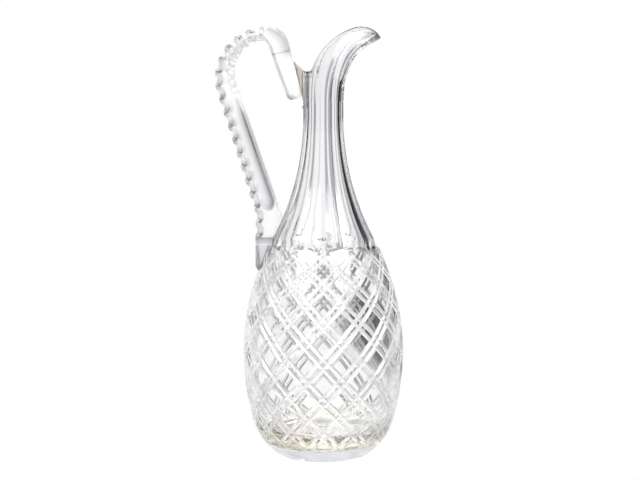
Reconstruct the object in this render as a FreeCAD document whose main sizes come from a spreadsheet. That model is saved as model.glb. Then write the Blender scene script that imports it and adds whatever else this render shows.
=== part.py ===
"""Cut-glass carafe: a blown vessel with a fluted neck and a pouring beak, and an applied handle.

Millimetres, +Z up. The origin is the centre of the flat base. The beak points along +X and the
handle stands on the -X side.
"""
import FreeCAD
import Part
import Sketcher
import math
import os

Vector = FreeCAD.Vector

SIZES = [
    # Body, from the flat base to the shoulder
    ("belly_dia", 120.0),
    ("belly_z", 75.0),
    ("belly_arc", 182.0),
    ("base_inset", 24.5),
    ("heel_z", 24.0),
    ("shoulder_rise", 81.0),
    # Collar at the foot of the neck, neck and glass thickness
    ("collar_inset", 1.0),
    ("collar_rise", 6.0),
    ("neck_dia", 31.8),
    ("neck_rise", 90.4),
    ("throat_rise", 9.6),
    ("wall", 4.6),
    ("floor_thick", 12.0),
    ("cavity_heel", 28.0),
    # Panel flutes cut round the neck
    ("flute_count", 8),
    ("flute_drop", 1.5),
    ("flute_exit", 3.5),
    ("flute_depth", 1.6),
    # Crossing V cuts on the body, at their full size on the belly
    ("cut_count", 14),
    ("cut_slope", 46.6),
    ("cut_turn", 5.87),
    ("cut_width", 3.2),
    ("cut_depth", 1.05),
    ("cut_low_z", 12.5),
    ("cut_drop", 5.5),
    # Pouring lip: how far each level stands above, in front of and beside the one below it
    ("lip_wall", 3.2),
    ("lip_pinch", 0.4),
    ("bend_rise", 18.0),
    ("bend_wall", 3.6),
    ("flare_rise", 12.0),
    ("flare_reach", 4.1),
    ("flare_spread", 1.0),
    ("flare_wall", 3.8),
    ("beak_rise", 9.0),
    ("beak_reach", 8.8),
    ("beak_spread", 1.2),
    ("beak_wall", 5.0),
    ("tip_rise", 8.0),
    ("tip_reach", 14.4),
    ("tip_spread", 1.0),
    ("tip_wall", 6.4),
    ("crown_rise", 11.0),
    ("crown_reach", 20.0),
    ("crown_spread", 1.2),
    ("crown_wall", 8.5),
    # Rim line in side view: level at the back, a long rise and a short drop to the beak
    ("rim_foot", 8.6),
    ("rim_back", 22.6),
    ("rim_top_x", 24.0),
    ("rim_rise", 31.4),
    ("rim_rise_arc", 46.0),
    ("rim_drop_arc", 17.0),
    # Handle in side view
    ("handle_width", 16.0),
    ("handle_edge", 3.2),
    ("handle_rise", 33.4),
    ("handle_reach", 25.8),
    ("top_thick", 10.7),
    ("inner_reach", 27.2),
    ("fold_out", 17.0),
    ("fold_in", 2.0),
    ("grip_lean", 17.4),
    ("grip_taper", 1.6),
    ("root_out", 10.5),
    ("root_in", 12.8),
    ("root_rise", 25.0),
    ("root_face", 40.0),
    ("root_toe", 8.0),
    ("toe_run", 4.0),
    ("tongue_lean", 13.6),
    ("tongue_taper", 9.0),
    ("tongue_end", 1.0),
    ("weld_rise", 8.4),
    ("weld_drop", 7.0),
    ("weld_sink", 4.0),
    # Scallops along the outer edge of the handle
    ("scallop_pitch", 10.5),
    ("scallop_gap", 0.4),
    ("scallop_depth", 1.8),
    ("grip_scallops", 9),
    ("bend_scallops", 5),
]


def make_sheet(doc):
    """Write every driving dimension to its own aliased cell."""
    sheet = doc.addObject("Spreadsheet::Sheet", "sizes")
    for row, (alias, size) in enumerate(SIZES, start=1):
        sheet.set(f"A{row}", alias)
        sheet.set(f"B{row}", str(size))
        sheet.setAlias(f"B{row}", alias)
    doc.recompute()
    return sheet


def named(text):
    """Turn plain size names into references to the sheet."""
    for alias, _ in sorted(SIZES, key=lambda row: -len(row[0])):
        text = text.replace(f"<{alias}>", f"sizes.{alias}")
    return text


def belly_radius(height):
    """Outside radius of the body on the belly arc at a height."""
    return named(f"({BELLY_R} - <belly_arc> + sqrt(<belly_arc> ^ 2 - ({height} - <belly_z>) ^ 2))")


# Heights, each counted up from the one below it
SHOULDER_Z = named("(<belly_z> + <shoulder_rise>)")
COLLAR_Z = named(f"({SHOULDER_Z} + <collar_rise>)")
NECK_LOW_Z = named(f"({COLLAR_Z} + <neck_rise>)")
THROAT_Z = named(f"({NECK_LOW_Z} + <throat_rise>)")
RIM_BACK_Z = named(f"({THROAT_Z} + <rim_back>)")
RIM_TOP_Z = named(f"({RIM_BACK_Z} + <rim_rise>)")
HANDLE_TOP_Z = named(f"({RIM_BACK_Z} + <handle_rise>)")

# Radii shared by the pieces
BELLY_R = named("(<belly_dia> / 2)")
BASE_R = named(f"({BELLY_R} - <base_inset>)")
NECK_R = named("(<neck_dia> / 2)")
BORE_R = named(f"({NECK_R} - <wall>)")
PANEL_R = named(f"({NECK_R} * cos(180 deg / <flute_count>))")
COLLAR_R = named(f"({belly_radius(SHOULDER_Z)} - <collar_inset>)")


class SketchBuilder:
    """One sketch on an origin plane whose constraints read the sheet."""

    def __init__(self, body, name, role, sheet):
        self.sheet = sheet
        self.sketch = body.newObject("Sketcher::SketchObject", name)
        plane = next(item for item in body.Origin.OriginFeatures if item.Role == role)
        self.sketch.AttachmentSupport = [(plane, "")]
        self.sketch.MapMode = "FlatFace"

    def value(self, expression):
        """Number that an expression has now."""
        result = self.sheet.evalExpression(named(expression))
        return float(getattr(result, "Value", result))

    def point(self, across, up):
        """Point of the sketch from two expressions."""
        return Vector(self.value(across), self.value(up), 0)

    def line(self, start, end):
        """Straight edge; returns its index."""
        return self.sketch.addGeometry(Part.LineSegment(start, end), False)

    def arc(self, centre, radius, start_angle, end_angle):
        """Counter-clockwise arc; returns its index."""
        circle = Part.Circle(centre, Vector(0, 0, 1), radius)
        return self.sketch.addGeometry(Part.ArcOfCircle(circle, start_angle, end_angle), False)

    def arc_through(self, centre, start, end):
        """Counter-clockwise arc round a centre from one point to another; returns its index."""
        first = start - centre
        last = end - centre
        return self.arc(centre, first.Length, math.atan2(first.y, first.x), math.atan2(last.y, last.x))

    def circle(self, centre, radius):
        """Full circle; returns its index."""
        return self.sketch.addGeometry(Part.Circle(centre, Vector(0, 0, 1), radius), False)

    def tie(self, kind, *where):
        """Geometric constraint without a size."""
        self.sketch.addConstraint(Sketcher.Constraint(kind, *where))

    def size(self, kind, expression, *where):
        """Dimension that follows an expression of the sheet."""
        number = self.value(expression)
        if kind == "Angle":
            number = math.radians(number)
            expression = f"({expression}) * 1 deg"
        index = self.sketch.addConstraint(Sketcher.Constraint(kind, *where, number))
        self.sketch.setExpression(f"Constraints[{index}]", named(expression))

    def place(self, geometry, end, across, up):
        """Fix a point by its distances from the origin; None leaves a direction free."""
        for kind, expression in (("DistanceX", across), ("DistanceY", up)):
            if expression is None:
                continue
            if self.value(expression) < 0:
                self.size(kind, f"-1 * ({expression})", geometry, end, -1, 1)
            else:
                self.size(kind, expression, -1, 1, geometry, end)

    def chain(self, edges):
        """Join edges end to end, given in order as (index, first end, last end)."""
        for this, after in zip(edges, edges[1:]):
            self.tie("Coincident", this[0], this[2], after[0], after[1])


def finish_revolve(body, sketch, name):
    """Turn a profile once round the vertical axis."""
    turn = body.newObject("PartDesign::Revolution", name)
    turn.Profile = sketch
    turn.ReferenceAxis = (sketch, ["V_Axis"])
    turn.Angle = 360.0
    return turn


def tangent_arc(foot, low, high):
    """Centre and radius of the arc that rises from low and stands upright at foot, at the height high."""
    rise = high - low.y
    spread = low.x - foot
    radius = (rise ** 2 + spread ** 2) / (2 * spread)
    return Vector(foot + radius, high, 0), radius


def close_profile(draw, low_edge, low_foot, neck_r, neck_arc):
    """Draw the straight neck, the throat and the axis of a half section, and tie them."""
    low_z = draw.value(NECK_LOW_Z)
    throat_z = draw.value(THROAT_Z)
    bore = draw.value(neck_r)
    neck = draw.line(Vector(bore, low_z, 0), Vector(bore, throat_z, 0))
    top = draw.line(Vector(bore, throat_z, 0), Vector(0, throat_z, 0))
    axis = draw.line(Vector(0, throat_z, 0), low_foot)
    draw.tie("Tangent", neck_arc, 1, neck, 1)
    draw.chain([(neck, 1, 2), (top, 1, 2), (axis, 1, 2), (low_edge, 1, 2)])
    draw.tie("Vertical", neck)
    draw.tie("Horizontal", top)
    draw.tie("Vertical", axis)
    draw.place(neck, 1, neck_r, NECK_LOW_Z)
    draw.place(neck, 2, None, THROAT_Z)


def heel_arc(foot, heel_top, belly_centre):
    """Centre and radius of the arc from the foot that runs smoothly into the belly arc."""
    inward = (belly_centre - heel_top).normalize()
    chord = foot - heel_top
    radius = chord.Length ** 2 / (2 * chord.dot(inward))
    return heel_top + inward * radius, radius


def outside_profile(body, sheet):
    """Half section of the outside: base, heel, belly, collar, hollow neck line and neck."""
    draw = SketchBuilder(body, "outside_profile", "XZ_Plane", sheet)
    foot = draw.point(BASE_R, "0")
    heel_top = draw.point(belly_radius("<heel_z>"), "<heel_z>")
    shoulder = draw.point(belly_radius(SHOULDER_Z), SHOULDER_Z)
    collar_top = draw.point(COLLAR_R, COLLAR_Z)
    belly_centre = draw.point(f"{BELLY_R} - <belly_arc>", "<belly_z>")
    heel_centre, _ = heel_arc(foot, heel_top, belly_centre)
    neck_centre, neck_arc_r = tangent_arc(draw.value(NECK_R), collar_top, draw.value(NECK_LOW_Z))

    base = draw.line(Vector(0, 0, 0), foot)
    heel = draw.arc_through(heel_centre, foot, heel_top)
    belly = draw.arc_through(belly_centre, heel_top, shoulder)
    collar = draw.line(shoulder, collar_top)
    neck_arc = draw.arc_through(neck_centre, neck_centre - Vector(neck_arc_r, 0, 0), collar_top)
    draw.chain([(base, 1, 2), (heel, 1, 2)])
    draw.tie("Tangent", heel, 2, belly, 1)
    draw.chain([(belly, 1, 2), (collar, 1, 2), (neck_arc, 2, 1)])
    draw.tie("Coincident", base, 1, -1, 1)
    draw.tie("Horizontal", base)
    draw.place(base, 2, BASE_R, None)
    draw.size("Radius", "<belly_arc>", belly)
    draw.place(belly, 3, f"{BELLY_R} - <belly_arc>", "<belly_z>")
    draw.place(belly, 1, None, "<heel_z>")
    draw.place(belly, 2, None, SHOULDER_Z)
    draw.place(collar, 2, COLLAR_R, COLLAR_Z)
    close_profile(draw, base, Vector(0, 0, 0), NECK_R, neck_arc)
    return draw.sketch


def cavity_profile(body, sheet):
    """Half section of the cavity: flat floor, round corner, belly, shoulder and bore."""
    draw = SketchBuilder(body, "cavity_profile", "XZ_Plane", sheet)
    belly_r = draw.value("<belly_arc> - <wall>")
    belly_centre = draw.point(f"{BELLY_R} - <belly_arc>", "<belly_z>")
    corner_r = draw.value("<cavity_heel>")
    corner_z = draw.value("<floor_thick> + <cavity_heel>")
    corner_x = belly_centre.x + math.sqrt((belly_r - corner_r) ** 2 - (belly_centre.y - corner_z) ** 2)
    corner_centre = Vector(corner_x, corner_z, 0)
    floor_end = corner_centre - Vector(0, corner_r, 0)
    floor_middle = Vector(0, floor_end.y, 0)
    heel_top = corner_centre + (corner_centre - belly_centre).normalize() * corner_r
    reach = draw.value(BORE_R) - belly_centre.x
    rise = draw.value(NECK_LOW_Z) - belly_centre.y
    neck_arc_r = (reach ** 2 + rise ** 2 - belly_r ** 2) / (2 * (belly_r - reach))
    neck_centre = belly_centre + Vector(reach + neck_arc_r, rise, 0)
    shoulder = belly_centre + (neck_centre - belly_centre).normalize() * belly_r

    floor = draw.line(floor_middle, floor_end)
    heel = draw.arc_through(corner_centre, floor_end, heel_top)
    belly = draw.arc_through(belly_centre, heel_top, shoulder)
    neck_arc = draw.arc_through(neck_centre, neck_centre - Vector(neck_arc_r, 0, 0), shoulder)
    draw.tie("Tangent", floor, 2, heel, 1)
    draw.tie("Tangent", heel, 2, belly, 1)
    draw.tie("Tangent", belly, 2, neck_arc, 2)
    draw.tie("Horizontal", floor)
    draw.tie("PointOnObject", floor, 1, -2)
    draw.place(floor, 1, None, "<floor_thick>")
    draw.size("Radius", "<cavity_heel>", heel)
    draw.size("Radius", "<belly_arc> - <wall>", belly)
    draw.place(belly, 3, f"{BELLY_R} - <belly_arc>", "<belly_z>")
    close_profile(draw, floor, floor_middle, BORE_R, neck_arc)
    return draw.sketch


LIP_LEVELS = ["flare", "beak", "tip", "crown"]
SECTION_POINTS = 16


def egg_wire(height, front, back, half, pinch):
    """Closed level section of the lip, drawn in towards the front as it grows longer than wide."""
    middle = (front - back) / 2
    reach = (front + back) / 2
    narrowing = pinch * (reach / half - 1)
    points = []
    for step in range(SECTION_POINTS):
        turn = 2 * math.pi * step / SECTION_POINTS
        aside = half * math.sin(turn) * (1 - narrowing * math.cos(turn))
        points.append(Vector(middle + reach * math.cos(turn), aside, height))
    curve = Part.BSplineCurve()
    curve.interpolate(Points=points, PeriodicFlag=True)
    return Part.Wire(curve.toShape())


def add_lip(doc, sheet, name, throat, front_inset, side_inset):
    """Pouring lip lofted up from the throat, each level moved in by its insets.

    throat is the expression of the radius it starts with, side_inset a length, and front_inset
    gives the length for a level's name.
    """
    height = float(sheet.evalExpression(THROAT_Z))
    front = float(sheet.evalExpression(PANEL_R))
    half = front - side_inset
    back = front - side_inset
    start = Part.Circle(Vector(0, 0, height), Vector(0, 0, 1), float(sheet.evalExpression(throat)))
    height += sheet.bend_rise
    bend = egg_wire(height, front - front_inset("bend"), back, half, sheet.lip_pinch)
    wires = [Part.Wire(start.toShape()), bend]
    for level in LIP_LEVELS:
        height += sheet.get(f"{level}_rise")
        front += sheet.get(f"{level}_reach")
        half += sheet.get(f"{level}_spread")
        wires.append(egg_wire(height, front - front_inset(level), back, half, sheet.lip_pinch))
    lip = doc.addObject("Part::Feature", name)
    lip.Shape = Part.makeLoft(wires, True, False)
    return lip


def flute_sketch(body, sheet):
    """Side view of what one flute removes: everything outside a hollow line along the neck."""
    draw = SketchBuilder(body, "flute_side", "XZ_Plane", sheet)
    low_x = f"({COLLAR_R} - <flute_depth>)"
    low_z = f"({SHOULDER_Z} - <flute_drop> + <flute_exit>)"
    exit_x = f"({low_x} + 2 * <flute_exit>)"
    exit_z = f"({SHOULDER_Z} - <flute_drop> - <flute_exit>)"
    clear_x = "<belly_dia>"
    low = draw.point(low_x, low_z)
    top = draw.point(PANEL_R, NECK_LOW_Z)
    throat = draw.point(PANEL_R, THROAT_Z)
    exit_point = draw.point(exit_x, exit_z)
    sill_end = draw.point(clear_x, exit_z)
    head_end = draw.point(clear_x, THROAT_Z)
    centre, _ = tangent_arc(top.x, low, top.y)
    hollow = draw.arc_through(centre, top, low)
    run_out = draw.line(low, exit_point)
    sill = draw.line(exit_point, sill_end)
    outside = draw.line(sill_end, head_end)
    head = draw.line(head_end, throat)
    straight = draw.line(throat, top)
    draw.chain([(edge, 1, 2) for edge in (hollow, run_out, sill, outside, head, straight)])
    draw.tie("Tangent", straight, 2, hollow, 1)
    draw.tie("Vertical", straight)
    draw.tie("Horizontal", sill)
    draw.tie("Vertical", outside)
    draw.tie("Horizontal", head)
    draw.place(hollow, 1, PANEL_R, NECK_LOW_Z)
    draw.place(hollow, 2, low_x, low_z)
    draw.place(run_out, 2, exit_x, exit_z)
    draw.place(outside, 2, clear_x, THROAT_Z)
    return draw.sketch


def add_flutes(doc, body, sheet):
    """Cut one flute on the front of the neck and repeat it round the axis."""
    pocket = body.newObject("PartDesign::Pocket", "flute")
    pocket.Profile = flute_sketch(body, sheet)
    pocket.Midplane = True
    pocket.Type = "Length"
    pocket.setExpression("Length", named("<belly_dia>"))
    doc.recompute()
    axis = next(item for item in body.Origin.OriginFeatures if item.Role == "Z_Axis")
    pattern = body.newObject("PartDesign::PolarPattern", "flutes")
    pattern.Originals = [pocket]
    pattern.Axis = (axis, [""])
    pattern.Angle = 360.0
    pattern.setExpression("Occurrences", named("<flute_count>"))
    body.Tip = pattern
    return pattern


def rim_sketch(body, sheet):
    """Side view of what is taken off above the rim, from the back of the mouth to the beak."""
    draw = SketchBuilder(body, "rim_side", "XZ_Plane", sheet)
    clear_back = "(-2 * <neck_dia>)"
    clear_front = "<belly_dia>"
    clear_top = f"({RIM_TOP_Z} + <belly_dia>)"
    foot = draw.point("(-1 * <rim_foot>)", RIM_BACK_Z)
    top = draw.point("<rim_top_x>", RIM_TOP_Z)
    rise_r = draw.value("<rim_rise_arc>")
    chord = top - foot
    aside = Vector(chord.y, -chord.x, 0).normalize()
    rise_centre = (foot + top) * 0.5 + aside * math.sqrt(rise_r ** 2 - (chord.Length / 2) ** 2)
    drop_centre = top + (rise_centre - top).normalize() * draw.value("<rim_drop_arc>")
    nose = drop_centre + Vector(draw.value("<rim_drop_arc>"), 0, 0)
    front_low = Vector(draw.value(clear_front), nose.y, 0)
    front_top = draw.point(clear_front, clear_top)
    back_top = draw.point(clear_back, clear_top)
    back_low = draw.point(clear_back, RIM_BACK_Z)
    rise = draw.arc_through(rise_centre, top, foot)
    drop = draw.arc_through(drop_centre, nose, top)
    front_sill = draw.line(nose, front_low)
    front = draw.line(front_low, front_top)
    upper = draw.line(front_top, back_top)
    back = draw.line(back_top, back_low)
    back_sill = draw.line(back_low, foot)
    draw.chain([(drop, 2, 1), (front_sill, 1, 2), (front, 1, 2), (upper, 1, 2), (back, 1, 2),
                (back_sill, 1, 2), (rise, 2, 1)])
    draw.tie("Tangent", rise, 1, drop, 2)
    draw.tie("Horizontal", front_sill)
    draw.tie("Vertical", front)
    draw.tie("Horizontal", upper)
    draw.tie("Vertical", back)
    draw.tie("Horizontal", back_sill)
    draw.size("Radius", "<rim_rise_arc>", rise)
    draw.size("Radius", "<rim_drop_arc>", drop)
    draw.place(rise, 1, "<rim_top_x>", RIM_TOP_Z)
    draw.place(rise, 2, "(-1 * <rim_foot>)", RIM_BACK_Z)
    draw.tie("Horizontal", drop, 1, drop, 3)
    draw.place(front, 2, clear_front, clear_top)
    draw.place(back, 2, clear_back, None)
    return draw.sketch


CUT_STEPS = 9
CLIMB_STEPS = 40
CUTTER_LIFT = 0.5


class BodyLine:
    """Outside of the body in side view, as the two arcs that meet at the top of the heel."""

    def __init__(self, sheet):
        self.belly_z = sheet.belly_z
        self.belly_r = sheet.belly_dia / 2
        self.heel_z = sheet.heel_z
        belly_centre = Vector(self.belly_r - sheet.belly_arc, sheet.belly_z, 0)
        self.belly = (belly_centre, sheet.belly_arc)
        foot = Vector(self.belly_r - sheet.base_inset, 0, 0)
        heel_top = Vector(self.on_arc(self.belly, self.heel_z), self.heel_z, 0)
        self.heel = heel_arc(foot, heel_top, belly_centre)

    @staticmethod
    def on_arc(arc, height):
        """Radius from the axis of a point of an arc at a height."""
        centre, radius = arc
        return centre.x + math.sqrt(radius ** 2 - (height - centre.y) ** 2)

    def arc_at(self, height):
        """Arc that a height lies on."""
        return self.heel if height < self.heel_z else self.belly

    def radius(self, height):
        """Outside radius at a height."""
        return self.on_arc(self.arc_at(height), height)

    def normal(self, height):
        """Unit vector away from the surface, as (outwards, up)."""
        centre, radius = self.arc_at(height)
        return (self.radius(height) - centre.x) / radius, (height - centre.y) / radius

    def climb(self, height, slope):
        """Angle in radians that an evenly sloping line turns through from the belly to a height."""
        step = (height - self.belly_z) / CLIMB_STEPS
        turned = 0
        for index in range(CLIMB_STEPS):
            middle = self.belly_z + (index + 0.5) * step
            outwards, _ = self.normal(middle)
            turned += step / (outwards * self.radius(middle))
        return turned / math.tan(slope)


def cut_section(sheet, line, height):
    """Bottom and two upper corners of the V cut at a height, the corners just off the surface."""
    slope = math.radians(sheet.cut_slope)
    turn = math.radians(sheet.cut_turn) - line.climb(height, slope)
    outwards = Vector(math.sin(turn), -math.cos(turn), 0)
    around = Vector(math.cos(turn), math.sin(turn), 0)
    up = Vector(0, 0, 1)
    normal_out, normal_up = line.normal(height)
    normal = outwards * normal_out + up * normal_up
    uphill = up * normal_out - outwards * normal_up
    across = around * math.sin(slope) + uphill * math.cos(slope)
    scale = line.radius(height) / line.belly_r
    depth = sheet.cut_depth * scale
    half = sheet.cut_width / 2 * scale * (1 + CUTTER_LIFT / depth)
    surface = outwards * line.radius(height) + up * height
    crest = surface + normal * CUTTER_LIFT
    return surface - normal * depth, crest + across * half, crest - across * half


def make_cutter(sheet):
    """Solid of one V cut: ruled faces between its three long edges, closed at both ends."""
    line = BodyLine(sheet)
    top = sheet.belly_z + sheet.shoulder_rise - sheet.cut_drop
    sections = []
    for step in range(CUT_STEPS + 1):
        height = sheet.cut_low_z + (top - sheet.cut_low_z) * step / CUT_STEPS
        sections.append(cut_section(sheet, line, height))
    edges = []
    for points in zip(*sections):
        curve = Part.BSplineCurve()
        curve.interpolate(Points=list(points))
        edges.append(curve.toShape())
    faces = [Part.makeRuledSurface(edges[index - 1], edges[index]) for index in range(len(edges))]
    for section in (sections[0], sections[-1]):
        faces.append(Part.Face(Part.makePolygon([*section, section[0]])))
    shell = Part.makeShell(faces)
    shell.sewShape()
    cutter = Part.makeSolid(shell)
    if cutter.Volume < 0:
        cutter.reverse()
    return cutter


def add_cuts(doc, sheet):
    """Ring of cuts that climb one way round the body, and its mirror image."""
    cutter = make_cutter(sheet)
    count = int(sheet.cut_count)
    copies = []
    for index in range(count):
        copy = cutter.copy()
        copy.rotate(Vector(0, 0, 0), Vector(0, 0, 1), 360 * index / count)
        copies.append(copy)
    ring = doc.addObject("Part::Feature", "cuts_one_way")
    ring.Shape = Part.makeCompound(copies)
    mirrored = doc.addObject("Part::Mirroring", "cuts_other_way")
    mirrored.Source = ring
    mirrored.Normal = Vector(1, 0, 0)
    return ring, mirrored


def fuse(doc, name, base, tool):
    """Join two solids into one object."""
    joined = doc.addObject("Part::Fuse", name)
    joined.Base = base
    joined.Tool = tool
    return joined


def cut(doc, name, base, tool):
    """Take one solid away from another."""
    rest = doc.addObject("Part::Cut", name)
    rest.Base = base
    rest.Tool = tool
    rest.Label = name
    return rest


def make_outside(doc, sheet):
    """Solid of the vessel's outside: turned body and neck, flutes, and the lip on top."""
    turned = doc.addObject("PartDesign::Body", "turned_outside")
    finish_revolve(turned, outside_profile(turned, sheet), "outside_turn")
    doc.recompute()
    plain_volume = turned.Shape.Volume
    add_flutes(doc, turned, sheet)
    doc.recompute()
    if turned.Shape.Volume >= plain_volume:
        raise RuntimeError("the flutes cut nothing")
    lip = add_lip(doc, sheet, "lip_outside", PANEL_R, lambda level: 0, 0)
    return fuse(doc, "outside", turned, lip)


def make_cavity(doc, sheet):
    """Solid of the space inside the vessel."""
    turned = doc.addObject("PartDesign::Body", "turned_cavity")
    finish_revolve(turned, cavity_profile(turned, sheet), "cavity_turn")
    lip = add_lip(doc, sheet, "lip_inside", BORE_R, lambda level: sheet.get(f"{level}_wall"), sheet.lip_wall)
    return fuse(doc, "cavity", turned, lip)


def make_vessel(doc, sheet, outside):
    """Blown vessel: the outside, hollowed, trimmed along the rim and cut with crossing V cuts."""
    cavity = make_cavity(doc, sheet)
    above_rim = doc.addObject("PartDesign::Body", "above_rim")
    trim = above_rim.newObject("PartDesign::Pad", "rim_trim")
    trim.Profile = rim_sketch(above_rim, sheet)
    trim.Midplane = True
    trim.setExpression("Length", named("<belly_dia>"))
    hollowed = cut(doc, "hollowed", outside, cavity)
    trimmed = cut(doc, "trimmed", hollowed, above_rim)
    one_way, other_way = add_cuts(doc, sheet)
    cut_once = cut(doc, "cut_once", trimmed, one_way)
    vessel = cut(doc, "vessel", cut_once, other_way)
    doc.recompute()
    steps = [outside, hollowed, trimmed, cut_once, vessel]
    for before, after in zip(steps, steps[1:]):
        if after.Shape.Volume >= before.Shape.Volume:
            raise RuntimeError(f"{after.Label} took nothing away")
    return vessel


# Handle outline relations: the outer grip line, and the bend that is tangent to it and level at the top
ROOT_X = named(f"(-1 * ({COLLAR_R} + <root_out>))")
ROOT_TOP_Z = named(f"({SHOULDER_Z} + <root_rise>)")
CROWN_X = named(f"(-1 * ({NECK_R} + <handle_reach>))")
LEAN_COS = named("cos(<grip_lean> * 1 deg)")
LEAN_SIN = named("sin(<grip_lean> * 1 deg)")
GRIP_LINE = f"({LEAN_COS} * {ROOT_X} + {LEAN_SIN} * {ROOT_TOP_Z})"
BEND_R = f"(({LEAN_COS} * {CROWN_X} + {LEAN_SIN} * {HANDLE_TOP_Z} - {GRIP_LINE}) / (1 + {LEAN_SIN}))"
BEND_Z = f"({HANDLE_TOP_Z} - {BEND_R})"


def tangent_bend(line_point, lean, top):
    """Centre and radius of the arc that is level at top and touches a leaning line on its right."""
    normal = Vector(math.cos(lean), math.sin(lean), 0)
    radius = normal.dot(top - line_point) / (1 + math.sin(lean))
    return top - Vector(0, radius, 0), radius


def slide_down(point, lean, height):
    """Point reached from another by going down a leaning line to a height."""
    drop = point.y - height
    return point + Vector(drop * math.tan(lean), -drop, 0)


def handle_sketch(body, sheet):
    """Side view of the handle: root wedge, leaning grip, bend, folded tongue and neck weld."""
    draw = SketchBuilder(body, "handle_side", "XZ_Plane", sheet)
    toe_z = f"({ROOT_TOP_Z} - <root_face> - <root_toe>)"
    toe_x = f"({ROOT_X} + <toe_run>)"
    face_z = f"({ROOT_TOP_Z} - <root_face>)"
    inner_x = f"(-1 * ({COLLAR_R} - <root_in>))"
    inner_z = f"({SHOULDER_Z} + <root_rise> / 2)"
    inner_crown_x = f"(-1 * ({NECK_R} + <inner_reach>))"
    inner_crown_z = f"({HANDLE_TOP_Z} - <top_thick>)"
    end_z = f"({THROAT_Z} + <tongue_end>)"
    weld_z = f"({RIM_BACK_Z} + <weld_rise>)"
    sunk_x = f"(-1 * ({NECK_R} - <weld_sink>))"
    lean_out = math.radians(draw.value("<grip_lean>"))
    lean_in = math.radians(draw.value("<grip_lean> + <grip_taper>"))
    lean_down = math.radians(draw.value("<tongue_lean>"))
    lean_under = math.radians(draw.value("<tongue_lean> + <tongue_taper>"))
    fold_out = draw.value("<fold_out>")
    fold_in = draw.value("<fold_in>")

    toe = draw.point(toe_x, toe_z)
    face_low = draw.point(ROOT_X, face_z)
    face_top = draw.point(ROOT_X, ROOT_TOP_Z)
    crown = draw.point(CROWN_X, HANDLE_TOP_Z)
    inner_crown = draw.point(inner_crown_x, inner_crown_z)
    inner_root = draw.point(inner_x, inner_z)
    outer_centre, outer_r = tangent_bend(face_top, lean_out, crown)
    inner_centre, inner_r = tangent_bend(inner_root, lean_in, inner_crown)
    across_out = Vector(math.cos(lean_out), math.sin(lean_out), 0)
    across_in = Vector(math.cos(lean_in), math.sin(lean_in), 0)
    across_down = Vector(math.cos(lean_down), math.sin(lean_down), 0)
    across_under = Vector(math.cos(lean_under), math.sin(lean_under), 0)
    fold_centre = crown - Vector(0, fold_out, 0)
    inner_fold_centre = inner_crown - Vector(0, fold_in, 0)
    fold_end = fold_centre + across_down * fold_out
    inner_fold_end = inner_fold_centre + across_under * fold_in
    weld_top = slide_down(fold_end, lean_down, draw.value(weld_z))
    tongue_end = slide_down(inner_fold_end, lean_under, draw.value(end_z))
    sunk_top = draw.point(sunk_x, f"({weld_z} - <weld_drop>)")
    sunk_low = draw.point(sunk_x, end_z)

    toe_edge = draw.line(toe, face_low)
    face = draw.line(face_low, face_top)
    grip_out = draw.line(face_top, outer_centre - across_out * outer_r)
    bend_out = draw.arc(outer_centre, outer_r, math.pi / 2, math.pi + lean_out)
    fold_over = draw.arc(fold_centre, fold_out, lean_down, math.pi / 2)
    tongue_out = draw.line(fold_end, weld_top)
    weld_edge = draw.line(weld_top, sunk_top)
    sunk = draw.line(sunk_top, sunk_low)
    tongue_tip = draw.line(sunk_low, tongue_end)
    tongue_in = draw.line(tongue_end, inner_fold_end)
    fold_under = draw.arc(inner_fold_centre, fold_in, lean_under, math.pi / 2)
    bend_in = draw.arc(inner_centre, inner_r, math.pi / 2, math.pi + lean_in)
    grip_in = draw.line(inner_centre - across_in * inner_r, inner_root)
    buried = draw.line(inner_root, toe)

    draw.tie("Coincident", toe_edge, 2, face, 1)
    draw.tie("Coincident", face, 2, grip_out, 1)
    draw.tie("Tangent", grip_out, 2, bend_out, 2)
    draw.tie("Tangent", bend_out, 1, fold_over, 2)
    draw.tie("Tangent", fold_over, 1, tongue_out, 1)
    draw.tie("Coincident", tongue_out, 2, weld_edge, 1)
    draw.tie("Coincident", weld_edge, 2, sunk, 1)
    draw.tie("Coincident", sunk, 2, tongue_tip, 1)
    draw.tie("Coincident", tongue_tip, 2, tongue_in, 1)
    draw.tie("Tangent", tongue_in, 2, fold_under, 1)
    draw.tie("Tangent", fold_under, 2, bend_in, 1)
    draw.tie("Tangent", bend_in, 2, grip_in, 1)
    draw.tie("Coincident", grip_in, 2, buried, 1)
    draw.tie("Coincident", buried, 2, toe_edge, 1)

    draw.place(toe_edge, 1, toe_x, toe_z)
    draw.place(face, 1, ROOT_X, face_z)
    draw.place(face, 2, ROOT_X, ROOT_TOP_Z)
    draw.place(bend_out, 1, CROWN_X, HANDLE_TOP_Z)
    draw.place(bend_out, 3, CROWN_X, None)
    draw.size("Angle", "90 + <grip_lean>", grip_out)
    draw.size("Radius", "<fold_out>", fold_over)
    draw.size("Angle", "-90 + <tongue_lean>", tongue_out)
    draw.place(tongue_out, 2, None, weld_z)
    draw.place(sunk, 1, sunk_x, f"({weld_z} - <weld_drop>)")
    draw.place(sunk, 2, sunk_x, end_z)
    draw.place(tongue_in, 1, None, end_z)
    draw.size("Angle", "90 + <tongue_lean> + <tongue_taper>", tongue_in)
    draw.size("Radius", "<fold_in>", fold_under)
    draw.place(bend_in, 1, inner_crown_x, inner_crown_z)
    draw.place(bend_in, 3, inner_crown_x, None)
    draw.size("Angle", "-90 + <grip_lean> + <grip_taper>", grip_in)
    draw.place(grip_in, 2, inner_x, inner_z)
    return draw.sketch


SCALLOP_R = named("((<scallop_pitch> - <scallop_gap>) / 2)")


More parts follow.
